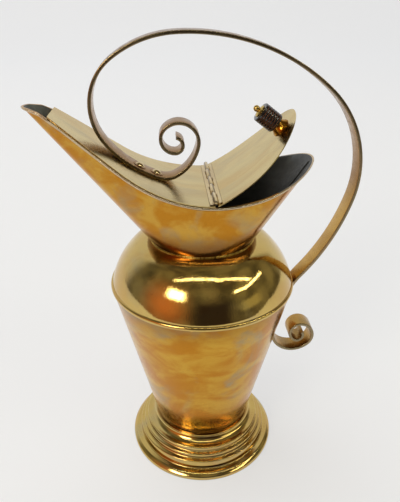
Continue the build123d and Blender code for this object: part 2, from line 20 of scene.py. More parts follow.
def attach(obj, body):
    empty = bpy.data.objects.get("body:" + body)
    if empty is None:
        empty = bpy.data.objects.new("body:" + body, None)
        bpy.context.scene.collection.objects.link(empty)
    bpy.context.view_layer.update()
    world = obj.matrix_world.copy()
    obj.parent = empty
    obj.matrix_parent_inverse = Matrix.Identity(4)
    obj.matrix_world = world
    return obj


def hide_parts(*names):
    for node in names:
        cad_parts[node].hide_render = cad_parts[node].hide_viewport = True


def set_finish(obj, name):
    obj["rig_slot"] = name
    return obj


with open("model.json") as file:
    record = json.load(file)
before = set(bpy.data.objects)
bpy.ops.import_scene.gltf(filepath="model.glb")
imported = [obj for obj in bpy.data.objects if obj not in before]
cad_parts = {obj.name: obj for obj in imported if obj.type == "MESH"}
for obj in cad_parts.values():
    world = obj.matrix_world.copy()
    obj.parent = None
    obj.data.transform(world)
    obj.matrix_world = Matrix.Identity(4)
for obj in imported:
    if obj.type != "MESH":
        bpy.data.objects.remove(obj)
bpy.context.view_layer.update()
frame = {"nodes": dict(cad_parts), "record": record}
print("CAD nodes:", len(frame["nodes"]))

# %% [markdown]
# ## How every piece is finished
#
# A modelled piece needs the same care each time: points that lie on each other are merged,
# normals are recalculated, and round surfaces are shaded smooth while true corners stay sharp.
# You could do this by hand for each piece.

# %% Finish a mesh
MM = 0.001
FINE = 2


def metres(point):
    """A point in millimetres as one in metres."""
    return tuple(value * MM for value in point)


def finish_mesh(name, mesh, body, nodes, slot, crease=35.0):
    """Turn a bmesh into an object that rides on a body and stands for some CAD nodes."""
    bmesh.ops.remove_doubles(mesh, verts=mesh.verts, dist=1e-6)
    bmesh.ops.recalc_face_normals(mesh, faces=mesh.faces)
    data = bpy.data.meshes.new(name)
    mesh.to_mesh(data)
    mesh.free()
    for polygon in data.polygons:
        polygon.use_smooth = True
    data.set_sharp_from_angle(angle=radians(crease))
    obj = bpy.data.objects.new(name, data)
    bpy.context.collection.objects.link(obj)
    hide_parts(*nodes)
    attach(obj, body)
    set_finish(obj, slot)
    return obj


print("steps are multiplied by", FINE)

# %% [markdown]
# ## Tools for turned pieces
#
# Most of this jug was spun or turned: a flat profile goes once round an axis. Blender's spin
# operator does just that. A lathe leaves no perfectly sharp corner, so a profile's corners are
# rounded before it is spun, and its hollow stretches are arcs through three points. A Bevel
# modifier could round the corners later, but on thin sheet it would eat into the next corner.

# %% Round a profile's corners
def rounded(points, radius, steps=4, keep=()):
    """Round the corners of a closed outline, apart from those numbered in keep."""
    out = []
    count = len(points)
    for i, (x, z) in enumerate(points):
        before, after = points[i - 1], points[(i + 1) % count]
        into = (before[0] - x, before[1] - z)
        away = (after[0] - x, after[1] - z)
        length_in, length_out = hypot(*into), hypot(*away)
        cut = min(radius, length_in * 0.45, length_out * 0.45)
        if i in keep or cut < 1e-5:
            out.append((x, z))
            continue
        start = (x + into[0] / length_in * cut, z + into[1] / length_in * cut)
        end = (x + away[0] / length_out * cut, z + away[1] / length_out * cut)
        out += soft_bend(start, (x, z), end, steps)
    return out


def soft_bend(start, corner, end, steps):
    """Points along a soft curve that leaves start and reaches end along the lines of a corner."""
    shares = [k / steps for k in range(steps + 1)]
    return [
        tuple((1 - t) ** 2 * a + 2 * t * (1 - t) * b + t**2 * c for a, b, c in zip(start, corner, end))
        for t in shares
    ]


square = [(0.0, 0.0), (1.0, 0.0), (1.0, 1.0), (0.0, 1.0)]
print("a square's corners become", len(rounded(square, 0.2)), "points")


# %% Draw an arc through three points
def arc(start, middle, end, steps):
    """Points along the arc through three points, without the first."""
    ax, ay = start
    bx, by = middle
    cx, cy = end
    squares = (ax**2 + ay**2, bx**2 + by**2, cx**2 + cy**2)
    scale = 2 * (ax * (by - cy) + bx * (cy - ay) + cx * (ay - by))
    ux = (squares[0] * (by - cy) + squares[1] * (cy - ay) + squares[2] * (ay - by)) / scale
    uy = (squares[0] * (cx - bx) + squares[1] * (ax - cx) + squares[2] * (bx - ax)) / scale
    radius = hypot(ax - ux, ay - uy)
    first = atan2(ay - uy, ax - ux)
    to_middle = (atan2(by - uy, bx - ux) - first) % (2 * pi)
    sweep = (atan2(cy - uy, cx - ux) - first) % (2 * pi)
    if to_middle > sweep:
        sweep -= 2 * pi
    turns_at = [first + sweep * k / steps for k in range(1, steps + 1)]
    return [(ux + radius * cos(turn), uy + radius * sin(turn)) for turn in turns_at]


print("half a circle ends at", [round(v, 3) for v in arc((1, 0), (0, 1), (-1, 0), 8)[-1]])


# %% Spin a profile
ON_AXIS = 0.001


def turned(profile, steps):
    """A mesh spun full circle from a closed profile of (radius, height) in millimetres."""
    mesh = bmesh.new()
    ring = [mesh.verts.new((r * MM, 0, z * MM)) for r, z in profile]
    edges = [mesh.edges.new(pair) for pair in zip(ring, ring[1:] + ring[:1])]
    bmesh.ops.spin(
        mesh,
        geom=ring + edges,
        cent=(0, 0, 0),
        axis=(0, 0, 1),
        angle=2 * pi,
        steps=steps * FINE,
        use_merge=True,
    )
    return mesh


print("a profile's points stay", ON_AXIS, "mm off the axis, so that a spin can't fold them")

# %% [markdown]
# ## Foot
#
# The real foot is one spun sheet: a base ring turned in at the table, three steps, a hollow
# moulding and a small flange for the body to stand on. It could be stacked from rings, but then
# the light would break at each joint. One profile, down the outside and back up the inside, gives
# a true sheet that is hollow from below.

# %% Foot
FOOT_TOP = 26.5
hollow_low, hollow_top = (42.2, 20.5), (36.1, 24.9)
inner_top, inner_low = (35.1, 23.9), (41.2, 19.5)
base_and_steps = [
    (51.0, 0.0),
    (55.0, 0.0),
    (55.0, 2.6),
    (52.4, 5.0),
    (48.8, 5.5),
    (48.8, 12.2),
    (45.8, 12.7),
    (45.8, 16.2),
    (43.2, 16.7),
    (43.2, 20.0),
    hollow_low,
]
flange = [
    hollow_top,
    (36.9, 24.9),
    (36.9, FOOT_TOP),
    (30.0, FOOT_TOP),
    (30.0, 25.5),
    (35.1, 25.5),
    inner_top,
]
foot_profile = rounded(base_and_steps, 0.9, keep=(len(base_and_steps) - 1,))
foot_profile += arc(hollow_low, (38.05, 21.82), hollow_top, 8)
foot_profile += rounded(flange, 0.35, keep=(0, len(flange) - 1))[1:]
foot_profile += arc(inner_top, (37.05, 20.82), inner_low, 8)
foot_profile += [(42.2, 19.0), (42.2, 15.7), (44.8, 15.2), (44.8, 11.7), (47.8, 11.2), (47.8, 4.5)]
foot_profile += [(51.4, 4.0), (54.0, 1.6), (54.0, 1.0), (51.0, 1.0)]
foot = finish_mesh("foot_metal", turned(foot_profile, 96), "jug", ["foot"], "polished_brass")
print("points in the foot's profile:", len(foot_profile))

# %% [markdown]
# ## Body
#
# The body is a plain sheet rolled to a cone and soldered to the foot. Blender's cone primitive
# would make it too, but it has no wall. A profile with an outer and an inner side has one, and a
# few points up each side keep its faces short, so that reflections stay straight.

# %% Body
SHEET = 1.0
BODY_TOP = 141.5
BODY_FOOT_RADIUS = 35.2
BODY_TOP_RADIUS = 62.4
TAPER = atan2(BODY_TOP_RADIUS - BODY_FOOT_RADIUS, BODY_TOP - FOOT_TOP)
wall = SHEET / cos(TAPER)
body_rows = 12
shares = [k / body_rows for k in range(body_rows + 1)]
body_outside = [
    (
        BODY_FOOT_RADIUS + (BODY_TOP_RADIUS - BODY_FOOT_RADIUS) * share,
        FOOT_TOP + (BODY_TOP - FOOT_TOP) * share,
    )
    for share in shares
]
body_inside = [(r - wall, z) for r, z in reversed(body_outside)]
cone = finish_mesh(
    "body_sheet", turned(body_outside + body_inside, 128), "jug", ["body_cone"], "orange_brass"
)
print("the body leans out by", round(degrees(TAPER), 1), "degrees")

# %% [markdown]
# ## Bottom plate
#
# A cone has no floor, so a disc is soldered inside it, on the foot's flange. It is seen only
# down the neck. A short profile spun round the axis gives it its edge.

# %% Bottom plate
DISC_SHEET = 1.2
disc_radius = BODY_FOOT_RADIUS - wall
disc_profile = [
    (ON_AXIS, FOOT_TOP),
    (disc_radius, FOOT_TOP),
    (disc_radius, FOOT_TOP + DISC_SHEET),
    (ON_AXIS, FOOT_TOP + DISC_SHEET),
]
disc = finish_mesh("bottom_plate", turned(disc_profile, 64), "jug", ["bottom_disc"], "aged_brass")
print("the plate is", round(2 * disc_radius, 1), "mm across")

# %% [markdown]
# ## Bead round the shoulder
#
# A half-round moulding hides the joint of body and shoulder. It could be a torus, but half of
# that would lie inside the walls. Here its back follows the two sheets behind it and only its
# front is an arc.

# %% Bead
BAND_RADIUS = 61.6
BEAD_HALF = 1.7
BEAD_PROUD = 0.6
bead_top = (BAND_RADIUS, BODY_TOP + BEAD_HALF)
bead_foot = (BODY_TOP_RADIUS - BEAD_HALF * tan(TAPER), BODY_TOP - BEAD_HALF)
bead_profile = [bead_top, (BAND_RADIUS, BODY_TOP), (BODY_TOP_RADIUS, BODY_TOP), bead_foot]
bead_profile += arc(bead_foot, (BODY_TOP_RADIUS + BEAD_PROUD, BODY_TOP), bead_top, 12)[:-1]
bead = finish_mesh(
    "shoulder_moulding", turned(bead_profile, 128), "jug", ["shoulder_bead"], "polished_brass"
)
print("the bead is", 2 * BEAD_HALF, "mm tall")

# %% [markdown]
# ## Shoulder
#
# The shoulder is a spun dome with a short band at its foot, a skirt that drops into the body and
# a collar that goes up inside the neck. It is the part that mirrors the whole room, so its curve
# has to be smooth: a true arc, then one soft bend on to the level landing under the neck. A UV
# sphere cut at both ends would come close, but it couldn't bend on to the landing.

# %% Draw the dome's arc
NECK_Z = 174.6
NECK_RADIUS = 34.2
BAND_TOP = 143.4
DOME_RADIUS = 54.0
LANDING = 6.0


def dome_arc(inset):
    """Three points of the dome's arc from its band to the landing, moved in by inset."""
    start = (BAND_RADIUS - inset, BAND_TOP)
    end = (NECK_RADIUS + LANDING - inset * 0.5, NECK_Z - inset)
    half = hypot(end[0] - start[0], end[1] - start[1]) / 2
    rise = DOME_RADIUS - sqrt(DOME_RADIUS**2 - half**2)
    along = atan2(end[1] - start[1], end[0] - start[0])
    middle = (
        (start[0] + end[0]) / 2 + rise * sin(along),
        (start[1] + end[1]) / 2 - rise * cos(along),
    )
    return start, middle, end


print("the dome rises", round(NECK_Z - BAND_TOP, 1), "mm")

# %% Shoulder
MOUTH_WALL = 0.9
SKIRT = 4.0
COLLAR = 4.0
DOME_STEPS = 28
BEND_POINTS = 6
skirt_radius = BODY_TOP_RADIUS - wall
skirt_foot = skirt_radius - SKIRT * tan(TAPER)
collar_radius = NECK_RADIUS - MOUTH_WALL
dome_points = arc(*dome_arc(0), DOME_STEPS)
# the spun sheet bends softly from the dome to the level landing under the neck
landing_edge = (NECK_RADIUS + 0.8, NECK_Z)
landing_bend = soft_bend(dome_points[-BEND_POINTS], dome_points[-1], landing_edge, 10)
inner_start, inner_middle, inner_end = dome_arc(SHEET)
inner_dome = [inner_start] + arc(inner_start, inner_middle, inner_end, DOME_STEPS)
shoulder_profile = [(BAND_RADIUS, BODY_TOP), (BAND_RADIUS, BAND_TOP)]
shoulder_profile += dome_points[:-BEND_POINTS] + landing_bend
shoulder_profile += [
    (collar_radius, NECK_Z),
    (collar_radius, NECK_Z + COLLAR),
    (collar_radius - SHEET, NECK_Z + COLLAR),
    (collar_radius - SHEET, NECK_Z - SHEET),
]
shoulder_profile += list(reversed(inner_dome))
shoulder_profile += [
    (skirt_radius - SHEET, BODY_TOP),
    (skirt_foot - SHEET, BODY_TOP - SKIRT),
    (skirt_foot, BODY_TOP - SKIRT),
    (skirt_radius, BODY_TOP),
]
shoulder = finish_mesh(
    "shoulder_dome", turned(shoulder_profile, 128), "jug", ["shoulder"], "polished_brass"
)
print("points in the shoulder's profile:", len(shoulder_profile))

# %% [markdown]
# ## The mouth's outline
#
# The mouth is one rolled sheet, round at the neck and drawn out above to a long boat-shaped oval.
# You could loft it between two curves, but a loft pairs their points by length and would twist
# the sheet. A maker rolls it so that every line up its side is straight, so each level outline is
# made of four arcs that keep their directions: one round the spout's end, one round the back and
# two along the flanks. Only their centres and radii change with height.

# %% Level outlines
OUTLINE_RISE = 87.4
SPOUT_END_RADIUS, SPOUT_END_REACH = 6.6, 99.2
BACK_END_RADIUS, BACK_END_REACH = 37.5, 55.0
SIDE_RADIUS = 214.0

span = SPOUT_END_REACH + BACK_END_REACH
to_spout = SIDE_RADIUS - SPOUT_END_RADIUS
to_back = SIDE_RADIUS - BACK_END_RADIUS
flank_along = (to_spout**2 - to_back**2 + span**2) / (2 * span)
flank_across = sqrt(to_spout**2 - flank_along**2)
SPOUT_TURN = atan2(flank_across, -flank_along)
BACK_TURN = atan2(flank_across, span - flank_along)


def arcs_at(height, allowance):
    """The spout, back and flank arcs of one level outline: (centre x, centre y, radius) each."""
    blend = (height - NECK_Z) / OUTLINE_RISE
    base = (1 - blend) * NECK_RADIUS + allowance
    spout = (-blend * SPOUT_END_REACH, 0.0, base + blend * SPOUT_END_RADIUS)
    back = (blend * BACK_END_REACH, 0.0, base + blend * BACK_END_RADIUS)
    flank_x = blend * (flank_along - SPOUT_END_REACH)
    flank = (flank_x, -blend * flank_across, base + blend * SIDE_RADIUS)
    return spout, back, flank


def outline_point(turn, height, allowance):
    """A point of the outline by its outward direction; 0 is the back and pi the spout."""
    spout, back, flank = arcs_at(height, allowance)
    across = abs(turn)
    if across >= SPOUT_TURN:
        x, y, r = spout
    elif across <= BACK_TURN:
        x, y, r = back
    else:
        x, y, r = flank
    side = 1 if 0 <= turn <= pi else -1
    return x + r * cos(across), side * (y + r * sin(across))


def half_width(x, height, allowance):
    """Half the outline's width at x on one level, or 0 beyond its ends."""
    spout, back, flank = arcs_at(height, allowance)
    if x <= spout[0] + spout[2] * cos(SPOUT_TURN):
        return sqrt(max(spout[2] ** 2 - (x - spout[0]) ** 2, 0))
    if x >= back[0] + back[2] * cos(BACK_TURN):
        return sqrt(max(back[2] ** 2 - (x - back[0]) ** 2, 0))
    return flank[1] + sqrt(flank[2] ** 2 - (x - flank[0]) ** 2)


turns_met = [round(degrees(turn)) for turn in (BACK_TURN, SPOUT_TURN)]
print("the arcs meet at", turns_met, "degrees from the back")

# %% [markdown]
# ## The rim's side view
#
# Seen from the side, the rim falls from the back to a low point over the hinge, climbs along a
# straight stretch and bends level again at the lip. Cover, lid, hinge and moulding all follow
# this one line, so it is written once, with a lift for pieces that lie above or below it.

# %% Sheer line
LOW_X, LOW_Z = 5.1, 209.0
FRONT_SHEER, BACK_SHEER = 93.4, 124.5
SPOUT_SLOPE = radians(36.9)
SPOUT_STRAIGHT = 45.8
LIP_BEND = 28.0


def sheer(x, lift=0.0):
    """Height of the rim's side view at x, raised by lift."""
    if x >= LOW_X:
        r = BACK_SHEER - lift
        return LOW_Z + BACK_SHEER - sqrt(max(r * r - (x - LOW_X) ** 2, 0))
    r = FRONT_SHEER - lift
    bend_x = LOW_X - r * sin(SPOUT_SLOPE)
    if x >= bend_x:
        return LOW_Z + FRONT_SHEER - sqrt(r * r - (x - LOW_X) ** 2)
    bend_z = LOW_Z + FRONT_SHEER - r * cos(SPOUT_SLOPE)
    start_x = bend_x - SPOUT_STRAIGHT * cos(SPOUT_SLOPE)
    if x >= start_x:
        return bend_z + (bend_x - x) * tan(SPOUT_SLOPE)
    start_z = bend_z + SPOUT_STRAIGHT * sin(SPOUT_SLOPE)
    lip = LIP_BEND + lift
    centre_x = start_x - lip * sin(SPOUT_SLOPE)
    centre_z = start_z - lip * cos(SPOUT_SLOPE)
    if x >= centre_x:
        return centre_z + sqrt(max(lip * lip - (x - centre_x) ** 2, 0))
    return centre_z + lip


print("the rim is", LOW_Z, "mm up at its lowest and", round(sheer(-99.0), 1), "mm at the lip")

# %% Where the sheet meets the rim
HALVINGS = 34


def rim_point(turn, allowance, lift):
    """The point where a line up the mouth's sheet meets the sheer, raised by lift."""
    low, high = NECK_Z, NECK_Z + OUTLINE_RISE + 6
    for _ in range(HALVINGS):
        middle = (low + high) / 2
        x, _y = outline_point(turn, middle, allowance)
        if middle < sheer(x, lift):
            low = middle
        else:
            high = middle
    x, y = outline_point(turn, low, allowance)
    return x, y, low


def even_turns(count):
    """Directions round the outline, closer together where it bends fast near the spout."""
    out = []
    stretches = ((0.0, BACK_TURN, 0.34), (BACK_TURN, SPOUT_TURN, 0.30), (SPOUT_TURN, pi, 0.36))
    for start, end, share in stretches:
        steps = max(4, round(count / 2 * share))
        out += [start + (end - start) * k / steps for k in range(steps)]
    out.append(pi)
    return out + [-turn for turn in reversed(out[1:-1])]


lip_point, back_point = rim_point(pi, 0, 0), rim_point(0, 0, 0)
print("rim from", [round(v, 1) for v in lip_point], "to", [round(v, 1) for v in back_point])

# %% [markdown]
# ## Mouth
#
# The sheet itself has two sides and an edge. One closed section runs up the outside, over the
# edge and down the inside, and it is extruded from one direction to the next until it meets
# itself. The first row above the neck is low, so that the line of solder there gets faces of its
# own and can take its own colour.

# %% Extrude a section from place to place
def drawn_through(rows, closed=False, capped=False):
    """Extrude a closed section through its places; each row holds its points at one place."""
    mesh = bmesh.new()
    section = [mesh.verts.new(point) for point in rows[0]]
    first_edges = [mesh.edges.new(pair) for pair in zip(section, section[1:] + section[:1])]
    edges = first_edges
    for row in rows[1:] + rows[: 1 if closed else 0]:
        made = bmesh.ops.extrude_edge_only(mesh, edges=edges)["geom"]
        edges = [item for item in made if isinstance(item, bmesh.types.BMEdge)]
        fresh = {item for item in made if isinstance(item, bmesh.types.BMVert)}
        section = [
            next(edge.other_vert(old) for edge in old.link_edges if edge.other_vert(old) in fresh)
            for old in section
        ]
        for vertex, point in zip(section, row):
            vertex.co = point
    if capped:
        bmesh.ops.edgeloop_fill(mesh, edges=first_edges)
        bmesh.ops.edgeloop_fill(mesh, edges=edges)
    return mesh


corners = [(0, 0, 0), (1, 0, 0), (1, 1, 0), (0, 1, 0)]
trial = drawn_through([corners, [(x, y, 1) for x, y, _z in corners]], capped=True)
print("a square extruded once and capped has", len(trial.faces), "faces")
trial.free()

# %% Mouth
SOLDER = 0.8
MOUTH_ROWS = 10


def mouth_section(turn):
    """Points up the outside of the sheet at one direction and down its inside."""
    points = []
    upward = range(MOUTH_ROWS + 1)
    for allowance, order in ((0.0, upward), (-MOUTH_WALL, reversed(upward))):
        top = rim_point(turn, allowance, 0)[2]
        for k in order:
            rise = SOLDER if k == 1 else (top - NECK_Z) * max(k - 1, 0) / (MOUTH_ROWS - 1)
            x, y = outline_point(turn, NECK_Z + rise, allowance)
            points.append(metres((x, y, NECK_Z + rise)))
    return points


turns = even_turns(96 * FINE)
mouth_mesh = drawn_through([mouth_section(turn) for turn in turns], closed=True)
mouth = finish_mesh("mouth_sheet", mouth_mesh, "jug", ["mouth"], "orange_brass")
print("directions round the mouth:", len(turns))

# %% [markdown]
# ## Rim moulding
#
# A half-round wire is soldered round the outside of the rim to stiffen it. A curve with a bevel
# would make a wire, but it would turn freely about its own line. This section keeps its flat back
# on the sheet: each of its points is placed by how far it stands off the sheet and below the rim.

# %% Rim moulding
rim_section = [
    (0.0, -1.8),
    (0.6, -1.7),
    (0.92, -1.3),
    (1.0, -0.8),
    (0.92, -0.3),
    (0.6, -0.06),
    (0.0, 0.0),
]
rim_rows = [[metres(rim_point(turn, off, lift)) for off, lift in rim_section] for turn in turns]
rim_mesh = drawn_through(rim_rows, closed=True)
rim = finish_mesh("rim_moulding", rim_mesh, "jug", ["rim_wire"], "pale_brass", crease=60.0)
print("the moulding's section has", len(rim_section), "points")

# %% [markdown]
# ## Cover and lid
#
# Both are thin plates bent to the rim's side view. You could cut them from a bent sheet with a
# boolean, but their edge has to follow the mouth all the way, so each plate is a section across
# the mouth that is extruded along X and is as wide as the mouth at each station. The plates keep
# their plan in a UV map, because their grain runs along the metal and has to bend with it.

# %% Bend a plate to the rim
def plate(stations, allowance, low, high, across, edge=0.12):
    """Sections of a plate between two lifts above the rim, one for each station along X."""
    rows = []
    shares = [-1 + 2 * k / across for k in range(across + 1)]
    for x in stations:
        width = half_width(x, sheer(x, (low + high) / 2), allowance)
        offsets = [share * (width - edge * (abs(share) == 1)) for share in shares]
        upper = [(x, y, sheer(x, high)) for y in offsets]
        lower = [(x, y, sheer(x, low)) for y in reversed(offsets)]
        rows.append(upper + lower)
    return rows


def plan_map(obj, placed_rows, flat_rows):
    """Store the plan position of each point in a UV map, found by where the point now is."""
    placed = [point for row in placed_rows for point in row]
    plans = [(x * MM, y * MM) for row in flat_rows for x, y, _z in row]
    finder = KDTree(len(placed))
    for number, point in enumerate(placed):
        finder.insert(point, number)
    finder.balance()
    layer = obj.data.uv_layers.new(name="plan")
    for loop in obj.data.loops:
        _point, number, _distance = finder.find(obj.data.vertices[loop.vertex_index].co)
        layer.data[loop.index].uv = plans[number]


print("a flat plate at x = 0 would be", round(2 * half_width(0, sheer(0), 0), 1), "mm wide")

# %% Cover
PLATE_TOP = 0.9
COVER_FRONT, COVER_BACK = -89.0, 4.7
cover_steps = 48 * FINE
cover_stations = [
    COVER_FRONT + (COVER_BACK - COVER_FRONT) * k / cover_steps for k in range(cover_steps + 1)
]
cover_flat = plate(cover_stations, 0.0, 0.0, PLATE_TOP, 16)
cover_rows = [[metres(point) for point in row] for row in cover_flat]
cover_mesh = drawn_through(cover_rows, capped=True)
cover = finish_mesh("cover_plate", cover_mesh, "jug", ["spout_cover"], "satin_brass")
plan_map(cover, cover_rows, cover_flat)
print("the cover is", round(COVER_BACK - COVER_FRONT, 1), "mm long in plan")

# %% [markdown]
# The lid is drawn shut, on the same line as the cover, and then turned about the hinge's pin to
# the angle at which it stands. Its round back edge needs shorter steps, so its stations crowd
# together there.

# %% Lid
HINGE_X, HINGE_Z = 5.1, 211.6
REST_OPENING = radians(26.8)
LID_CLEARANCE = 0.3
LID_OVERLAP = 0.3
LID_FRONT = 5.5


def swing(point):
    """Turn a point in millimetres from the shut lid to the lid at rest."""
    x, y, z = point
    dx, dz = x - HINGE_X, z - HINGE_Z
    c, s = cos(REST_OPENING), sin(REST_OPENING)
    return HINGE_X + c * dx - s * dz, y, HINGE_Z + s * dx + c * dz


lid_middle = (LID_CLEARANCE + PLATE_TOP) / 2
lid_back = 80.0
while half_width(lid_back, sheer(lid_back, lid_middle), LID_OVERLAP) <= 0:
    lid_back -= 0.02
lid_steps = 44 * FINE
crowding = [sin(pi / 2 * k / lid_steps) for k in range(lid_steps + 1)]
lid_stations = [LID_FRONT + (lid_back - LID_FRONT) * share for share in crowding]
lid_flat = plate(lid_stations, LID_OVERLAP, LID_CLEARANCE, PLATE_TOP, 20)
lid_rows = [[metres(swing(point)) for point in row] for row in lid_flat]
lid_mesh = drawn_through(lid_rows, capped=True)
lid = finish_mesh("lid_plate", lid_mesh, "lid", ["lid"], "satin_brass")
plan_map(lid, lid_rows, lid_flat)
print("the lid's back edge, when shut, is at x =", round(lid_back, 1))

# %% [markdown]
# ## Strap handle
#
# One flat strap makes the whole handle. It could follow a Bezier curve, but hand-set handles
# wobble between their points. A smith bends a strap in arcs, so arcs are laid nose to tail here,
# and a section with softened edges is extruded along them. The scroll and the hoop both leave the
# riveted seat, the hoop has to land flat on the body, and the curl goes on from there.

# %% Walk along arcs
def left_of(heading):
    """The direction to the left of a heading in degrees, in the view from the side."""
    return (-sin(radians(heading)), cos(radians(heading)))


def walk(point, heading, turns_list, longest=2.0):
    """Points and headings along arcs laid nose to tail; + turns left and - turns right."""
    out = [(point, heading)]
    x, z = point
    for radius, turn in turns_list:
        side = 1 if turn > 0 else -1
        left = left_of(heading)
        centre = (x + side * radius * left[0], z + side * radius * left[1])
        arc_length = radians(abs(turn)) * radius
        count = max(3, round(abs(turn) / 6 * FINE), round(arc_length / longest))
        for k in range(1, count + 1):
            now = heading + turn * k / count
            left = left_of(now)
            here = (centre[0] - side * radius * left[0], centre[1] - side * radius * left[1])
            out.append((here, now))
        (x, z), heading = out[-1]
    return out


print("a quarter turn of radius 1 ends at", [round(v, 2) for v in walk((0, 0), 0, ((1, 90),))[-1][0]])

# %% The strap's line
STRAP_THICKNESS = 2.1
SEAT_SLOPE = 29.8
SADDLE = 0.25
HOOP = ((59.91, -25.04), (33.58, -87.71), (66.43, -34.47), (128.54, -44.37), (69.49, -64.28))
HOOP_LAST_RADIUS = 144.3
LANDING_RADIUS = 40.0
CURL_HEIGHT = 95.6

seat_radius = FRONT_SHEER - PLATE_TOP - STRAP_THICKNESS / 2
SCROLL = (
    (seat_radius, 9.4),
    (12.0, 47.0),
    (27.2, 51.5),
    (12.0, 146.1),
    (8.7, 134.0),
    (4.8, 173.8),
)
CURL = ((12.0, 43.0), (16.1, 103.7), (10.4, 118.5), (7.5, 159.6), (4.3, 170.0))
seat_point = (
    LOW_X - seat_radius * sin(radians(SEAT_SLOPE)),
    LOW_Z + FRONT_SHEER - seat_radius * cos(radians(SEAT_SLOPE)),
)
hoop = walk(seat_point, 180.0 - SEAT_SLOPE, HOOP)
hoop_end, hoop_heading = hoop[-1]

# the last two bends are solved, so that the strap ends up lying flat on the body's slope
body_heading = -90.0 - degrees(TAPER)
body_side = left_of(body_heading)
off_body = body_side[0] * BODY_FOOT_RADIUS + body_side[1] * FOOT_TOP
off_body += STRAP_THICKNESS / 2 - SADDLE
off_hoop = body_side[0] * hoop_end[0] + body_side[1] * hoop_end[1]
already_turned = HOOP_LAST_RADIUS * cos(radians(hoop_heading - body_heading))
meeting = off_body - off_hoop + already_turned + LANDING_RADIUS
steepest = body_heading - degrees(acos(meeting / (HOOP_LAST_RADIUS + LANDING_RADIUS)))
last_bends = (
    (HOOP_LAST_RADIUS, steepest - hoop_heading),
    (LANDING_RADIUS, body_heading - steepest),
)
landing = walk(hoop_end, hoop_heading, last_bends)
landed_x, landed_z = landing[-1][0]
curl_start = (landed_x + (CURL_HEIGHT - landed_z) * sin(TAPER) / cos(TAPER), CURL_HEIGHT)
curl = walk(curl_start, body_heading, CURL)
scroll = walk(seat_point, -SEAT_SLOPE, SCROLL)
path = [(point, heading + 180.0) for point, heading in reversed(scroll)]
path += hoop[1:] + landing[1:] + curl
print("the strap turns flat at", [round(v, 1) for v in landing[-1][0]])

# %% Strap handle
SCROLL_WIDTH = 12.6
EXTRA_WIDTH = 0.8
WIDENS_BEFORE, WIDENS_OVER = 20.0, 60.0
STRAP_EDGE = 0.55

lengths = [0.0]
for (before, _h), (after, _g) in zip(path, path[1:]):
    lengths.append(lengths[-1] + hypot(after[0] - before[0], after[1] - before[1]))
seat_length = lengths[len(scroll) - 1]


def strap_width(along):
    """The strap is drawn down a little for the scroll."""
    t = min(max((along - seat_length + WIDENS_BEFORE) / WIDENS_OVER, 0.0), 1.0)
    return SCROLL_WIDTH + EXTRA_WIDTH * t * t * (3 - 2 * t)


def strap_section(centre, heading, along):
    """The strap's section, square to its heading, as points in metres."""
    (x, z), (lx, lz) = centre, left_of(heading)
    wide, thick = strap_width(along) / 2, STRAP_THICKNESS / 2
    corners = [(-wide, -thick), (wide, -thick), (wide, thick), (-wide, thick)]
    return [metres((x + n * lx, y, z + n * lz)) for y, n in rounded(corners, STRAP_EDGE, 3)]


strap_rows = [
    strap_section(centre, heading, along) for (centre, heading), along in zip(path, lengths)
]
strap_mesh = drawn_through(strap_rows, capped=True)
strap = finish_mesh("strap", strap_mesh, "jug", ["handle_strap"], "bronzed_brass")
print("the strap is", round(lengths[-1]), "mm long in", len(path), "steps")

# %% [markdown]
# ## Rivets and washers
#
# Two rivets hold the strap on its seat, over washers under the cover. Each is drawn upright and
# spun, then stood square to the strap. You could rotate the finished objects instead, but moving
# the meshes keeps every object's origin at the jug's foot, as the frame needs.

# %% Stand a piece in its place
def place(mesh, origin, up):
    """Stand an upright bmesh on a point in millimetres, with its Z along up in the XZ view."""
    tilt = Matrix.Rotation(atan2(up[0], up[1]), 3, "Y")
    bmesh.ops.rotate(mesh, verts=mesh.verts, cent=(0, 0, 0), matrix=tilt)
    bmesh.ops.translate(mesh, verts=mesh.verts, vec=(origin[0] * MM, 0, origin[1] * MM))
    return mesh


def joined(meshes):
    """One bmesh from several."""
    total = bmesh.new()
    for mesh in meshes:
        data = bpy.data.meshes.new("part")
        mesh.to_mesh(data)
        total.from_mesh(data)
        mesh.free()
        bpy.data.meshes.remove(data)
    return total


def cap(radius, height, steps):
    """Points up a spherical cap from its edge to its top."""
    sphere = (radius**2 + height**2) / (2 * height)
    full = acos((sphere - height) / sphere)
    angles = [full * (1 - k / steps) for k in range(steps + 1)]
    return [(max(sphere * sin(a), ON_AXIS), height - sphere * (1 - cos(a))) for a in angles]


print("a dome's points, edge to top:", [round(r, 1) for r, _z in cap(2.7, 1.5, 8)])

# %% Rivets and washers
RIVET_SPOTS = (1.1, 12.6)
RIM_INSIDE = 2.8
RIM_BELOW = -0.1

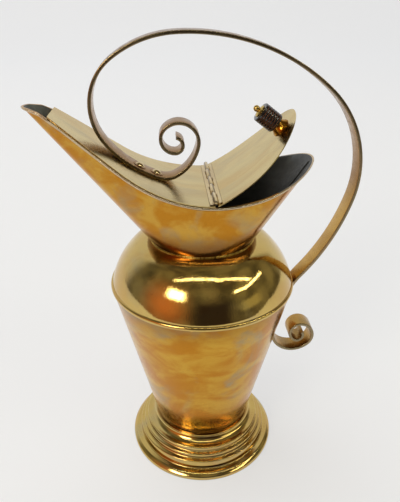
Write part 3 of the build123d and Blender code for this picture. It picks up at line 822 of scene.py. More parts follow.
# from the tail under the washer, up the shank, round the head's thin rim and over its dome
rivet_profile = [(ON_AXIS, -4.6), (2.4, -4.6), (2.4, -3.6), (1.5, -3.6), (1.5, -0.05)]
rivet_profile += [(4.4, -0.05), (4.5, 0.22), (4.2, 0.45), (3.4, 0.4), (2.9, 0.5)]
rivet_profile += [(r, z + 0.5) for r, z in cap(2.7, 1.5, 8)]
washer_profile = [(1.5, -3.6), (3.6, -3.6), (3.6, -3.0), (1.5, -3.0)]
strap_top = seat_radius - STRAP_THICKNESS / 2
rivet_meshes, washer_meshes = [], []
for spot in RIVET_SPOTS:
    lean = radians(SEAT_SLOPE) - spot / seat_radius
    up = (sin(lean), cos(lean))
    origin = (LOW_X - strap_top * up[0], LOW_Z + FRONT_SHEER - strap_top * up[1])
    rivet_mesh = turned(rivet_profile, 24)
    for face in rivet_mesh.faces:
        centre = face.calc_center_median()
        on_rim = centre.z > RIM_BELOW * MM and hypot(centre.x, centre.y) > RIM_INSIDE * MM
        face.material_index = 1 if on_rim else 0
    rivet_meshes.append(place(rivet_mesh, origin, up))
    washer_meshes.append(place(turned(washer_profile, 24), origin, up))
rivets = finish_mesh("rivets", joined(rivet_meshes), "jug", ["strap_rivets"], "pale_brass")
washers = finish_mesh("washers", joined(washer_meshes), "jug", ["rivet_washers"], "aged_brass")
print("points in the two rivets:", len(rivets.data.vertices))

# %% [markdown]
# ## Seam strip
#
# The mouth's sheet is closed at the back, and a narrow strip covers the seam inside. A flat box
# would stand off the round sheet, so each line up the strip is taken from the mouth's own back
# arc, on the sheet's inner side and one strip's thickness further in.

# %% Seam strip
STRIP_WIDTH = 9.0
STRIP_THICKNESS = 0.8
STRIP_FOOT = NECK_Z + 5.0
STRIP_ROWS = 8
STRIP_LINES = 6


def strip_line(y):
    """Points up the strip against the sheet and down the strip's free side, at one place."""
    points = []
    upward = range(STRIP_ROWS + 1)
    free_side = -MOUTH_WALL - STRIP_THICKNESS
    for allowance, order in ((-MOUTH_WALL, upward), (free_side, reversed(upward))):
        _spout, neck_back, _flank = arcs_at(NECK_Z, allowance)
        top = rim_point(asin(y / neck_back[2]), allowance, 0)[2]
        for k in order:
            height = STRIP_FOOT + (top - STRIP_FOOT) * k / STRIP_ROWS
            _spout, back, _flank = arcs_at(height, allowance)
            x = back[0] + sqrt(back[2] ** 2 - y * y)
            points.append(metres((x, y, min(height, sheer(x)))))
    return points


strip_places = [-STRIP_WIDTH / 2 + STRIP_WIDTH * k / STRIP_LINES for k in range(STRIP_LINES + 1)]
strip_mesh = drawn_through([strip_line(y) for y in strip_places], capped=True)
strip = finish_mesh("seam_cover", strip_mesh, "jug", ["seam_strip"], "aged_brass")
print("the strip starts", round(STRIP_FOOT, 1), "mm up")

# %% [markdown]
# ## Hinge
#
# Five knuckles share one pin: the fixed leaf has three of them and the lid's leaf has two. A
# knuckle is a tube with a rounded profile, spun upright and laid along Y, because a cylinder
# primitive has neither the bore nor the soft ends. A web joins each knuckle to the thin strip
# that lies on its plate.

# %% Tubes and blocks
def tube(start, end, outer_radius, inner_radius):
    """A tube along Y between two places, centred on the hinge."""
    profile = [
        (inner_radius, start),
        (outer_radius, start),
        (outer_radius, end),
        (inner_radius, end),
    ]
    mesh = turned(rounded(profile, 0.2, 2), 20)
    along_y = Matrix.Rotation(-pi / 2, 3, "X")
    bmesh.ops.rotate(mesh, verts=mesh.verts, cent=(0, 0, 0), matrix=along_y)
    bmesh.ops.translate(mesh, verts=mesh.verts, vec=(HINGE_X * MM, 0, HINGE_Z * MM))
    return mesh


def leaf_block(side, outline, start, end):
    """A block between two places along Y; its outline is (distance from the hinge, height)."""
    corners = [(LOW_X + side * away, height) for away, height in outline]
    ends = [[metres((x, y, z)) for x, z in corners] for y in (start, end)]
    return drawn_through(ends, capped=True)


def swung_open(mesh):
    """Move a mesh drawn on the shut lid to the lid at rest."""
    for vertex in mesh.verts:
        vertex.co = metres(swing([value / MM for value in vertex.co]))
    return mesh


trial = tube(-1.0, 1.0, 1.4, 0.7)
print("a knuckle has", len(trial.faces), "faces")
trial.free()

# %% Hinge leaves and pin
HINGE_HALF = 35.8
KNUCKLES = 5
KNUCKLE_GAP = 0.15
KNUCKLE_RADIUS = 1.4
PIN_RADIUS = 0.7
LID_BORE = 0.8
knuckle_length = 2 * HINGE_HALF / KNUCKLES
web_outline = [(0.9, 209.92), (1.8, 209.92), (1.8, 210.6), (1.2, 210.9)]
leaf_outline = [(1.72, 209.91), (3.5, 209.97), (3.42, 210.54), (3.3, 210.6), (1.72, 210.6)]

fixed_parts, lid_parts = [], []
for number in range(KNUCKLES):
    on_jug = number % 2 == 0
    start = -HINGE_HALF + number * knuckle_length
    end = start + knuckle_length
    # the gaps are only between knuckles, not at the hinge's two ends
    start += 0 if number == 0 else KNUCKLE_GAP
    end -= 0 if number == KNUCKLES - 1 else KNUCKLE_GAP
    parts, side, bore = (fixed_parts, -1, PIN_RADIUS) if on_jug else (lid_parts, 1, LID_BORE)
    parts.append(tube(start, end, KNUCKLE_RADIUS, bore))
    parts.append(leaf_block(side, web_outline, start, end))
for side, parts in ((-1, fixed_parts), (1, lid_parts)):
    parts.append(leaf_block(side, leaf_outline, -HINGE_HALF, HINGE_HALF))
lid_leaf_mesh = swung_open(joined(lid_parts))
fixed_leaf = finish_mesh(
    "hinge_fixed", joined(fixed_parts), "jug", ["hinge_leaf_fixed"], "pale_brass"
)
lid_leaf = finish_mesh("hinge_moving", lid_leaf_mesh, "lid", ["hinge_leaf_lid"], "pale_brass")
pin_mesh = tube(-HINGE_HALF, HINGE_HALF, PIN_RADIUS, ON_AXIS)
pin = finish_mesh("hinge_rod", pin_mesh, "jug", ["hinge_pin"], "pale_brass")
print("the hinge is", 2 * HINGE_HALF, "mm long")

# %% [markdown]
# ## Knob
#
# You lift the lid by a knob: a flared collar, a grooved black grip and a small finial on one
# stud, with a nut under the lid. All are turned upright, stood on the shut lid and swung open
# with it. The grip's grooves could be a bump, but they show in its outline, so the profile has
# them.

# %% Knob collar
KNOB_OUT = 53.5
STUD = 1.6
knob_radius = BACK_SHEER - PLATE_TOP
knob_lean = asin(KNOB_OUT / knob_radius)
knob_foot = (LOW_X + KNOB_OUT, LOW_Z + BACK_SHEER - knob_radius * cos(knob_lean))


def on_lid(mesh):
    """Stand an upright mesh on the shut lid's knob seat, then swing it open."""
    return swung_open(place(mesh, knob_foot, (-sin(knob_lean), cos(knob_lean))))


collar_profile = [(STUD, 4.2), (STUD, 0.05), (6.0, 0.12), (6.0, 0.6)]
collar_profile += arc((6.0, 0.6), (4.75, 2.4), (4.2, 4.2), 8)
collar_mesh = on_lid(turned(collar_profile, 32))
collar = finish_mesh("knob_flare", collar_mesh, "lid", ["knob_collar"], "orange_brass")
print("the knob's seat is at", [round(v, 1) for v in knob_foot])

# %% Knob grip
GRIP_LOW, GRIP_TOP = 4.2, 16.8
GRIP_RADIUS = 6.2
GROOVES = 6
END_RADIUS, NEAR_END_RADIUS, END_STEP = 5.6, 6.1, 0.35
groove_pitch = (GRIP_TOP - GRIP_LOW) / (GROOVES + 1)
groove_shape = [(0, -0.5), (0.15, -0.32), (0.45, -0.15), (0.45, 0.15), (0.15, 0.32), (0, 0.5)]
grip_profile = [
    (STUD, GRIP_TOP),
    (STUD, GRIP_LOW),
    (END_RADIUS, GRIP_LOW),
    (NEAR_END_RADIUS, GRIP_LOW + END_STEP),
]
for number in range(GROOVES):
    middle = GRIP_LOW + (number + 1) * groove_pitch
    grip_profile += [(GRIP_RADIUS - depth, middle + rise) for depth, rise in groove_shape]
grip_profile += [(NEAR_END_RADIUS, GRIP_TOP - END_STEP), (END_RADIUS, GRIP_TOP)]
grip_mesh = turned(grip_profile, 32)
# the floors of the grooves take a second material
for face in grip_mesh.faces:
    centre = face.calc_center_median()
    deep = hypot(centre.x, centre.y) < (GRIP_RADIUS - 0.3) * MM
    if deep and (GRIP_LOW + 0.6) * MM < centre.z < (GRIP_TOP - 0.6) * MM:
        face.material_index = 1
grip = finish_mesh("knob_wood", on_lid(grip_mesh), "lid", ["knob_grip"], "black_wood")
print("the grooves are", round(groove_pitch, 2), "mm apart")

# %% Knob finial
BUTTON_RADIUS = 2.0
BUTTON_NECK = 1.5
BUTTON_STEPS = 10
button_middle = GRIP_TOP + 4.9 - BUTTON_RADIUS
below_middle = sqrt(BUTTON_RADIUS**2 - BUTTON_NECK**2)
first_angle = atan2(-below_middle, BUTTON_NECK)
finial_profile = [(ON_AXIS, -3.4), (STUD, -3.4), (STUD, GRIP_TOP), (3.8, GRIP_TOP)]
finial_profile += [(3.9, GRIP_TOP + 0.2), (3.9, GRIP_TOP + 0.55), (3.75, GRIP_TOP + 0.72)]
finial_profile += [(BUTTON_NECK, button_middle - below_middle)]
for k in range(1, BUTTON_STEPS + 1):
    angle = first_angle + (pi / 2 - first_angle) * k / BUTTON_STEPS
    radius = max(BUTTON_RADIUS * cos(angle), ON_AXIS)
    finial_profile.append((radius, button_middle + BUTTON_RADIUS * sin(angle)))
finial_mesh = on_lid(turned(finial_profile, 28))
finial = finish_mesh("knob_top", finial_mesh, "lid", ["knob_finial"], "polished_brass")
print("the finial's top is", round(finial_profile[-1][1], 1), "mm above the lid")

# %% [markdown]
# The nut is the one piece here that isn't round, so it starts from the cone primitive with six
# sides and equal radii, and a bevel takes off its sharp edges.

# %% Knob nut
NUT_ACROSS = 6.0 / sqrt(3)
NUT_LOW, NUT_TOP = -2.8, -0.6
nut_mesh = bmesh.new()
bmesh.ops.create_cone(
    nut_mesh,
    cap_ends=True,
    segments=6,
    radius1=NUT_ACROSS * MM,
    radius2=NUT_ACROSS * MM,
    depth=(NUT_TOP - NUT_LOW) * MM,
    matrix=Matrix.Translation((0, 0, (NUT_LOW + NUT_TOP) / 2 * MM)) @ Matrix.Rotation(pi / 6, 4, "Z"),
)
bmesh.ops.bevel(
    nut_mesh,
    geom=nut_mesh.edges[:],
    affect="EDGES",
    offset=0.25 * MM,
    segments=2,
    profile=0.5,
    material=-1,
)
nut = finish_mesh("knob_nut_hex", on_lid(nut_mesh), "lid", ["knob_nut"], "aged_brass")
print("the nut has", len(nut.data.polygons), "faces")

# %% [markdown]
# ## Inside and outside
#
# The insides of the jug take a near-black finish of their own: painted shade for the dark inside the
# jug and under the foot. You could paint a mask for them, but the shape already tells them apart: a
# turned piece's inside looks towards the axis or down under the foot. The mouth's inside is found the
# same way, from the middle of its outline at each height.

# %% Mark the insides
FACES_MIDDLE = -0.15
FACES_DOWN = -0.5


def mark_inside(obj, middle_at, down=False):
    """Give the second material, near-black painted shade, to faces that look towards a middle line."""
    for polygon in obj.data.polygons:
        centre, normal = polygon.center, polygon.normal
        middle_x, middle_y = middle_at(centre)
        outward = Vector((centre.x - middle_x, centre.y - middle_y, 0))
        if outward.length > 1e-6:
            outward.normalize()
        facing = normal.x * outward.x + normal.y * outward.y
        if facing < FACES_MIDDLE or (down and normal.z < FACES_DOWN):
            polygon.material_index = 1


def axis_middle(_centre):
    """Turned pieces have their middle on the axis."""
    return 0.0, 0.0


def mouth_middle(centre):
    """The nearest point of the line between the spout end's and back end's centres."""
    spout, back, _flank = arcs_at(centre.z / MM, 0.0)
    return min(max(centre.x, spout[0] * MM), back[0] * MM), 0.0


for piece in (cone, shoulder):
    mark_inside(piece, axis_middle)
mark_inside(foot, axis_middle, down=True)
mark_inside(mouth, mouth_middle)
print("inside faces of the mouth:", sum(p.material_index for p in mouth.data.polygons))

# %% [markdown]
# ## Wear on brass
#
# Old brass is never one colour. Each finish could have its own nodes for that, but then a change
# would have to be made many times. One node group makes the effects that they share: clouds and
# patches of tarnish, small spots and fine scratches. It gives only masks and a normal, and each
# finish mixes its own colours by them, because the shader itself has to stay in the material.

# %% Node helpers
def noise(nodes, links, vector, scale, detail=4.0, rough=0.55, warp=0.0):
    """A noise texture's value at a place."""
    node = nodes.new("ShaderNodeTexNoise")
    node.inputs["Scale"].default_value = scale
    node.inputs["Detail"].default_value = detail
    node.inputs["Roughness"].default_value = rough
    node.inputs["Distortion"].default_value = warp
    links.new(vector, node.inputs["Vector"])
    return node.outputs["Fac"]


def spread(nodes, links, value, low, high, to_low=0.0, to_high=1.0):
    """A value softly stretched from one range to another."""
    node = nodes.new("ShaderNodeMapRange")
    node.interpolation_type = "SMOOTHSTEP"
    node.inputs["From Min"].default_value = low
    node.inputs["From Max"].default_value = high
    node.inputs["To Min"].default_value = to_low
    node.inputs["To Max"].default_value = to_high
    links.new(value, node.inputs["Value"])
    return node.outputs["Result"]


def scaled(nodes, links, vector, factors):
    """A vector multiplied by three factors, or by another vector socket."""
    node = nodes.new("ShaderNodeVectorMath")
    node.operation = "MULTIPLY"
    links.new(vector, node.inputs[0])
    if isinstance(factors, tuple):
        node.inputs[1].default_value = factors
    else:
        links.new(factors, node.inputs[1])
    return node.outputs["Vector"]


def times(nodes, links, value, factor):
    """A value multiplied by a number."""
    node = nodes.new("ShaderNodeMath")
    node.operation = "MULTIPLY"
    node.inputs[1].default_value = factor
    links.new(value, node.inputs[0])
    return node.outputs["Value"]


def mixed(nodes, links, factor, first, second):
    """Two colours mixed by a factor; each colour is an RGB triple or a socket."""
    node = nodes.new("ShaderNodeMix")
    node.data_type = "RGBA"
    links.new(factor, node.inputs[0])
    for socket, value in ((node.inputs[6], first), (node.inputs[7], second)):
        if isinstance(value, tuple):
            socket.default_value = (*value, 1.0)
        else:
            links.new(value, socket)
    return node.outputs[2]


def new_material(name):
    """A material with nodes, and its nodes and links."""
    material = bpy.data.materials.new(name)
    material.use_nodes = True
    return material, material.node_tree.nodes, material.node_tree.links


print("node helpers:", [tool.__name__ for tool in (noise, spread, scaled, times, mixed)])

# %% Wear group
FINE_GRAIN = (900.0, 900.0, 60.0)

wear = bpy.data.node_groups.new("brass_wear", "ShaderNodeTree")
wear.interface.new_socket(name="Place", in_out="INPUT", socket_type="NodeSocketVector")
grain_socket = wear.interface.new_socket(
    name="Grain", in_out="INPUT", socket_type="NodeSocketVector"
)
grain_socket.default_value = FINE_GRAIN
for mask in ("Clouds", "Patches", "Spots", "Scratches"):
    wear.interface.new_socket(name=mask, in_out="OUTPUT", socket_type="NodeSocketFloat")
wear.interface.new_socket(name="Normal", in_out="OUTPUT", socket_type="NodeSocketVector")

nodes, links = wear.nodes, wear.links
enter = nodes.new("NodeGroupInput")
leave = nodes.new("NodeGroupOutput")
where = enter.outputs["Place"]

clouds = noise(nodes, links, where, 24.0, 5.0, 0.58, 0.5)
links.new(spread(nodes, links, clouds, 0.40, 0.64), leave.inputs["Clouds"])

# patches are looked up away from the clouds and are a little taller than wide
shifted = nodes.new("ShaderNodeVectorMath")
shifted.operation = "MULTIPLY_ADD"
shifted.inputs[1].default_value = (1.0, 1.0, 0.6)
shifted.inputs[2].default_value = (3.1, 1.7, 4.4)
links.new(where, shifted.inputs[0])
patches = noise(nodes, links, shifted.outputs["Vector"], 19.0, 4.0, 0.55, 0.6)
links.new(spread(nodes, links, patches, 0.50, 0.72), leave.inputs["Patches"])

specks = noise(nodes, links, where, 320.0, 2.0, 0.5)
links.new(spread(nodes, links, specks, 0.66, 0.78), leave.inputs["Spots"])

grain_place = scaled(nodes, links, where, enter.outputs["Grain"])
scratches = noise(nodes, links, grain_place, 1.0, 3.0, 0.6)
links.new(spread(nodes, links, scratches, 0.3, 0.7), leave.inputs["Scratches"])
print("brass_wear has", len(nodes), "nodes so far")

# %% Relief in the wear group
swell = noise(nodes, links, where, 24.0, 2.0, 0.4)
surface = nodes.new("ShaderNodeMath")
surface.operation = "MULTIPLY_ADD"
surface.inputs[1].default_value = 0.05
links.new(scratches, surface.inputs[0])
links.new(swell, surface.inputs[2])
uneven = nodes.new("ShaderNodeBump")
uneven.inputs["Strength"].default_value = 0.06
uneven.inputs["Distance"].default_value = 0.0004
links.new(surface.outputs["Value"], uneven.inputs["Height"])
links.new(uneven.outputs["Normal"], leave.inputs["Normal"])
print("brass_wear has", len(nodes), "nodes")

# %% [markdown]
# ## Brass finishes
#
# A finish is the metal's own colour with two kinds of tarnish over it, a few dark spots, and scratches
# that roughen it. Where the jug's own parts shade a surface, a finish can be painted darker in a
# stretch that fades with height: painted shade. You could mix the finishes from one
# material with masks, but here each finish is a material of its own.

# %% Make a brass finish
# the brown mixed in where a finish darkens with height: painted shade
PAINTED_SHADE = (0.20, 0.085, 0.02)
SPOT_COLOUR = (0.10, 0.06, 0.03)


def with_painted_shade(nodes, links, base, where, shade_bands):
    """Painted shade that fades with height: heights where it is full and where it ends, amount."""
    height = nodes.new("ShaderNodeSeparateXYZ")
    links.new(where, height.inputs[0])
    for full, ends, amount in shade_bands:
        fade = spread(nodes, links, height.outputs["Z"], ends * MM, full * MM)
        base = mixed(nodes, links, times(nodes, links, fade, amount), base, PAINTED_SHADE)
    return base


def brass(
    name,
    colour,
    cloud,
    patch,
    rough,
    amounts=(0.7, 0.6),
    grain=FINE_GRAIN,
    stretch=(1.0, 1.0, 1.7),
    by_plan=False,
    bump=0.06,
    spots=0.2,
    shade_bands=(),
    metallic=1.0,
):
    """A brass finish: its own colour, with clouds and patches of tarnish over it, and painted shade by
    height where given.
    """
    material, nodes, links = new_material(name)
    shader = nodes["Principled BSDF"]
    where = nodes.new("ShaderNodeTexCoord").outputs["Object"]
    worn = nodes.new("ShaderNodeGroup")
    worn.node_tree = wear
    worn.inputs["Grain"].default_value = grain
    lookup = where
    if by_plan:
        plan = nodes.new("ShaderNodeUVMap")
        plan.uv_map = "plan"
        lookup = plan.outputs["UV"]
    links.new(scaled(nodes, links, lookup, stretch), worn.inputs["Place"])

    cloudy = times(nodes, links, worn.outputs["Clouds"], amounts[0])
    patchy = times(nodes, links, worn.outputs["Patches"], amounts[1])
    base = mixed(nodes, links, cloudy, colour, cloud)
    base = mixed(nodes, links, patchy, base, patch)
    # darker towards some heights: painted shade
    if shade_bands:
        base = with_painted_shade(nodes, links, base, where, shade_bands)
    spotty = times(nodes, links, worn.outputs["Spots"], spots)
    base = mixed(nodes, links, spotty, base, SPOT_COLOUR)
    links.new(base, shader.inputs["Base Color"])
    shader.inputs["Metallic"].default_value = metallic

    roughness = spread(nodes, links, worn.outputs["Scratches"], 0.0, 1.0, *rough)
    links.new(roughness, shader.inputs["Roughness"])
    relief = nodes.new("ShaderNodeBump")
    relief.inputs["Strength"].default_value = bump
    relief.inputs["Distance"].default_value = 0.0002
    links.new(worn.outputs["Scratches"], relief.inputs["Height"])
    links.new(worn.outputs["Normal"], relief.inputs["Normal"])
    links.new(relief.outputs["Normal"], shader.inputs["Normal"])
    return material


print("sockets of the wear group:", [item.name for item in wear.interface.items_tree])

# %% Brass of the body, the mouth and the turned mouldings
orange = brass(
    "orange_brass",
    colour=(0.52, 0.215, 0.014),
    cloud=(0.64, 0.38, 0.05),
    patch=(0.36, 0.30, 0.18),
    rough=(0.12, 0.24),
    amounts=(0.85, 0.9),
    stretch=(1.3, 1.3, 2.3),
    # painted shade under the bead, and a painted dark reflection of the foot above the foot
    shade_bands=((141.5, 122.0, 0.42), (27.0, 38.0, 0.6)),
)
orange_mouth = brass(
    "orange_mouth",
    colour=(0.50, 0.215, 0.02),
    cloud=(0.63, 0.40, 0.075),
    patch=(0.36, 0.28, 0.16),
    rough=(0.12, 0.24),
    amounts=(0.6, 0.6),
    stretch=(2.3, 2.3, 3.4),
    # painted shade on the mouth just above the neck
    shade_bands=((178.0, 194.0, 0.9),),
)
polished = brass(
    "polished_brass",
    colour=(0.63, 0.45, 0.14),
    cloud=(0.54, 0.31, 0.10),
    patch=(0.44, 0.40, 0.24),
    rough=(0.04, 0.09),
    amounts=(0.5, 0.5),
)
print("finishes so far:", orange.name, orange_mouth.name, polished.name)

# %% Brass of the plates, wires and insides
satin = brass(
    "satin_brass",
    colour=(0.68, 0.54, 0.245),
    cloud=(0.60, 0.41, 0.15),
    patch=(0.50, 0.40, 0.21),
    rough=(0.13, 0.24),
    grain=(40.0, 1400.0, 1.0),
    stretch=(0.7, 2.2, 1.0),
    by_plan=True,
    bump=0.05,
)
satin_plain = brass(
    "satin_plain",
    colour=(0.76, 0.62, 0.36),
    cloud=(0.70, 0.54, 0.28),
    patch=(0.66, 0.56, 0.36),
    rough=(0.22, 0.36),
)
pale = brass(
    "pale_brass",
    colour=(0.72, 0.57, 0.31),
    cloud=(0.64, 0.46, 0.20),
    patch=(0.36, 0.26, 0.14),
    rough=(0.14, 0.26),
    amounts=(0.5, 0.5),
)
# near-black brass for the insides and the hidden pieces: painted shade
painted_shade_brass = brass(
    "aged_brass",
    colour=(0.085, 0.09, 0.095),
    cloud=(0.14, 0.15, 0.16),
    patch=(0.20, 0.22, 0.21),
    rough=(0.4, 0.55),
    amounts=(0.6, 0.6),
    metallic=0.55,
)
bronzed = brass(
    "bronzed_brass",
    colour=(0.58, 0.35, 0.09),
    cloud=(0.45, 0.25, 0.06),
    patch=(0.25, 0.22, 0.12),
    rough=(0.18, 0.32),
    amounts=(0.7, 0.8),
    grain=(150.0, 150.0, 150.0),
    spots=0.0,
    # painted shade on the strap's scroll and on its lower curl
    shade_bands=((218.0, 180.0, 0.7), (70.0, 125.0, 0.5)),
)
print("finishes so far:", len(bpy.data.materials))

# %% Brass of painted shade on edges, of the rim with its painted highlight, and of solder
# darker brass for the strap's sides and the hinge leaves' outer sides: painted shade
painted_shade_edge = brass(
    "painted_shade_edge_brass",
    colour=(0.29, 0.23, 0.13),
    cloud=(0.40, 0.27, 0.14),
    patch=(0.21, 0.19, 0.12),
    rough=(0.26, 0.34),
    amounts=(0.6, 0.5),
    grain=(60.0, 60.0, 60.0),
    bump=0.0,
    spots=0.0,
)
# the rim's sides: a darker copy of its brass, painted shade beside its painted highlight
rim_shaded_side = brass(
    "rim_shaded_side_brass",
    colour=(0.60, 0.47, 0.31),
    cloud=(0.58, 0.42, 0.25),
    patch=(0.34, 0.26, 0.17),
    rough=(0.14, 0.26),
    amounts=(0.6, 0.6),
    spots=0.0,
)
# the rim's upward faces: a lighter copy of its brass, a painted highlight
rim_painted_highlight = brass(
    "rim_painted_highlight",
    colour=(0.95, 0.84, 0.62),
    cloud=(0.80, 0.64, 0.40),
    patch=(0.55, 0.42, 0.28),
    rough=(0.25, 0.38),
    amounts=(0.6, 0.6),
    spots=0.0,
)
solder = brass(
    "solder_line",
    colour=(0.74, 0.66, 0.42),
    cloud=(0.50, 0.40, 0.20),
    patch=(0.30, 0.24, 0.14),
    rough=(0.2, 0.35),
    amounts=(0.8, 0.8),
)
print("finishes so far:", len(bpy.data.materials))

# %% [markdown]
# ## Black wood
#
# The grip is ebonised wood under a thin polish. A plain black would look like plastic, so faint
# grain mixes two near-blacks and changes the gloss, and a clear coat lies over them. The stain
# has worn to brown in the grooves, where the polish never reached.

# %% Wood
def grained(name, scale, detail, warp, first, second):
    """Wood that mixes two colours by a noise, with the noise for further use."""
    material, nodes, links = new_material(name)
    where = nodes.new("ShaderNodeTexCoord").outputs["Object"]
    grain = noise(nodes, links, where, scale, detail, 0.6, warp)
    colour = mixed(nodes, links, grain, first, second)
    links.new(colour, nodes["Principled BSDF"].inputs["Base Color"])
    return material, grain


wood, wood_grain = grained(
    "black_wood", 260.0, 4.0, 0.4, (0.006, 0.006, 0.009), (0.022, 0.016, 0.014)
)
wood_shader = wood.node_tree.nodes["Principled BSDF"]
wood_shader.inputs["Coat Weight"].default_value = 0.6
wood_shader.inputs["Coat Roughness"].default_value = 0.08
gloss = spread(wood.node_tree.nodes, wood.node_tree.links, wood_grain, 0.3, 0.7, 0.14, 0.26)
wood.node_tree.links.new(gloss, wood_shader.inputs["Roughness"])
groove_wood, _grain = grained(
    "groove_wood", 400.0, 3.0, 0.0, (0.16, 0.055, 0.02), (0.05, 0.02, 0.012)
)
print("woods:", wood.name, "and", groove_wood.name)

# %% [markdown]
# ## Finishes on the pieces
#
# Each piece takes the finish that its slot names. Where one piece shows two surfaces, such as the
# strap's face and its edges painted darker as shade, the faces are picked by where they look or lie. A
# mask in one material could do that too, but here the border falls on real corners of the shape.

# %% Put the finishes on
FINISHES = {
    "orange_brass": orange,
    "polished_brass": polished,
    "satin_brass": satin,
    "pale_brass": pale,
    # the pieces in this slot are hidden or inside, and their near-black is painted shade
    "aged_brass": painted_shade_brass,
    "bronzed_brass": bronzed,
    "black_wood": wood,
}
OWN_FINISH = {rim: rim_shaded_side, mouth: orange_mouth}
turned_pieces = [foot, cone, disc, bead, shoulder]
jug_pieces = [mouth, rim, cover, strap, rivets, washers, strip, fixed_leaf, pin]
lid_pieces = [lid, lid_leaf, collar, grip, finial, nut]
new_pieces = turned_pieces + jug_pieces + lid_pieces
for piece in new_pieces:
    piece.data.materials.append(OWN_FINISH.get(piece) or FINISHES[piece["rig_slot"]])
# the insides take the near-black painted shade as a second material
for piece in (foot, cone, shoulder, mouth):
    piece.data.materials.append(painted_shade_brass)
rivets.data.materials.append(bronzed)
grip.data.materials.append(groove_wood)
print("finished pieces:", len(new_pieces))

# %% Second finishes
def add_finish(piece, material, picks):
    """Give a piece one more finish, on the faces that a test picks."""
    number = len(piece.data.materials)
    piece.data.materials.append(material)
    for polygon in piece.data.polygons:
        if picks(polygon):
            polygon.material_index = number


def on_solder(polygon):
    """Whether an outer face of the mouth lies in the line of solder at the neck."""
    return polygon.material_index == 0 and polygon.center.z < (NECK_Z + SOLDER) * MM


# the strap's sides take the painted shade
add_finish(strap, painted_shade_edge, lambda face: abs(face.normal.y) > 0.5)
add_finish(mouth, solder, on_solder)
# the rim's upward faces take the painted highlight
add_finish(rim, rim_painted_highlight, lambda face: 0.12 < face.normal.z < 0.8)
# the hinge leaves' outer sides and knuckle ends take the painted shade
for leaf, outward in (
    (fixed_leaf, Vector((-1, 0, 0))),
    (lid_leaf, Vector((cos(REST_OPENING), 0, sin(REST_OPENING)))),
):
    add_finish(
        leaf,
        painted_shade_edge,
        lambda face, out=outward: face.normal.dot(out) > 0.45 or abs(face.normal.y) > 0.5,
    )
print("faces in solder:", sum(face.material_index == 2 for face in mouth.data.polygons))

# %% Finishes on the CAD nodes
slots = {entry["node"]: entry["material_slot"] for entry in frame["record"]["subparts"]}
# the CAD nodes have no plan map, so their satin is the plain one
cad_finishes = {**FINISHES, "satin_brass": satin_plain}
for name, node in frame["nodes"].items():
    node.data.materials.clear()
    node.data.materials.append(cad_finishes[slots[name]])
print("CAD nodes with a finish:", len(frame["nodes"]))

# %% [markdown]
# ## Backdrop
#
# A pale paper sweep runs under and behind the jug and glows a little, which keeps its shade even.
# A plane and a wall would show their corner, so one line with a quarter circle in it is extruded
# sideways.

# %% Sheets of light
def ribbon(line, across):
    """A sheet made by extruding a line of points, in metres, sideways."""
    mesh = bmesh.new()
    start = [mesh.verts.new(point) for point in line]
    edges = [mesh.edges.new(pair) for pair in zip(start, start[1:])]
    made = bmesh.ops.extrude_edge_only(mesh, edges=edges)["geom"]
    fresh = [item for item in made if isinstance(item, bmesh.types.BMVert)]
    bmesh.ops.translate(mesh, verts=fresh, vec=across)
    return mesh


def stage_mesh(name, mesh, material):
    """Turn a bmesh into an object that is part of the stage."""
    data = bpy.data.meshes.new(name)
    mesh.to_mesh(data)
    mesh.free()
    data.materials.append(material)
    obj = bpy.data.objects.new(name, data)
    bpy.context.collection.objects.link(obj)
    return obj


def glow(name, colour, strength, base=0.0):
    """A matt surface that gives off its own even light."""
    material, nodes, _links = new_material(name)
    shader = nodes["Principled BSDF"]
    shader.inputs["Base Color"].default_value = (base, base, base, 1.0)
    shader.inputs["Roughness"].default_value = 0.8
    shader.inputs["Specular IOR Level"].default_value = 0.0
    shader.inputs["Emission Color"].default_value = (*colour, 1.0)
    shader.inputs["Emission Strength"].default_value = strength
    return material


trial = ribbon([(0, 0, 0), (0, 1, 0), (0, 1, 1)], (1, 0, 0))
print("a line of three points extrudes to", len(trial.faces), "faces")
trial.free()

# %% Sweep
SWEEP_HALF = 4.5
SWEEP_FRONT, SWEEP_BEND_AT, SWEEP_TOP = -0.55, 2.2, 3.4
SWEEP_RADIUS = 0.9
BEND_STEPS = 12
bend_angles = [pi / 2 * k / BEND_STEPS for k in range(1, BEND_STEPS + 1)]
sweep_line = [(SWEEP_FRONT, 0.0), (SWEEP_BEND_AT, 0.0)]
sweep_line += [
    (SWEEP_BEND_AT + SWEEP_RADIUS * sin(angle), SWEEP_RADIUS - SWEEP_RADIUS * cos(angle))
    for angle in bend_angles
]
sweep_line.append((SWEEP_BEND_AT + SWEEP_RADIUS, SWEEP_TOP))
sweep_mesh = ribbon([(-SWEEP_HALF, y, z) for y, z in sweep_line], (2 * SWEEP_HALF, 0, 0))
sweep = stage_mesh("sweep", sweep_mesh, glow("sweep_paper", (0.97, 0.98, 1.0), 0.54, 0.34))
for polygon in sweep.data.polygons:
    polygon.use_smooth = True
print("the sweep is", 2 * SWEEP_HALF, "m wide")

# %% [markdown]
# ## The room in the metal
#
# Polished metal shows the room around it, so the room matters as much as the metal. An image of
# a room could light it, but its every detail would show. Here the side behind the camera is a
# dim room on part of a sphere. Soft patches in front of it make its dark corner, a warm corner, a
# pale corner and a window, and narrow tubes draw the bright lines on the shoulder. All of it
# shows only in reflections, so that the jug stands before a pale ground from every side.

# %% Glowing patches
MIDDLE = Vector((0.0, 0.0, 0.15))
PATCH_ACROSS, PATCH_UP = 24, 12


def toward(heading, rise, reach):
    """A point seen from the jug's middle: heading 0 is the front and 90 the right, in degrees."""
    h, r = radians(heading), radians(rise)
    return MIDDLE + reach * Vector((sin(h) * cos(r), -cos(h) * cos(r), sin(r)))


def between(ends, share):
    """The value at a share of the way between two ends."""
    return ends[0] + (ends[1] - ends[0]) * share


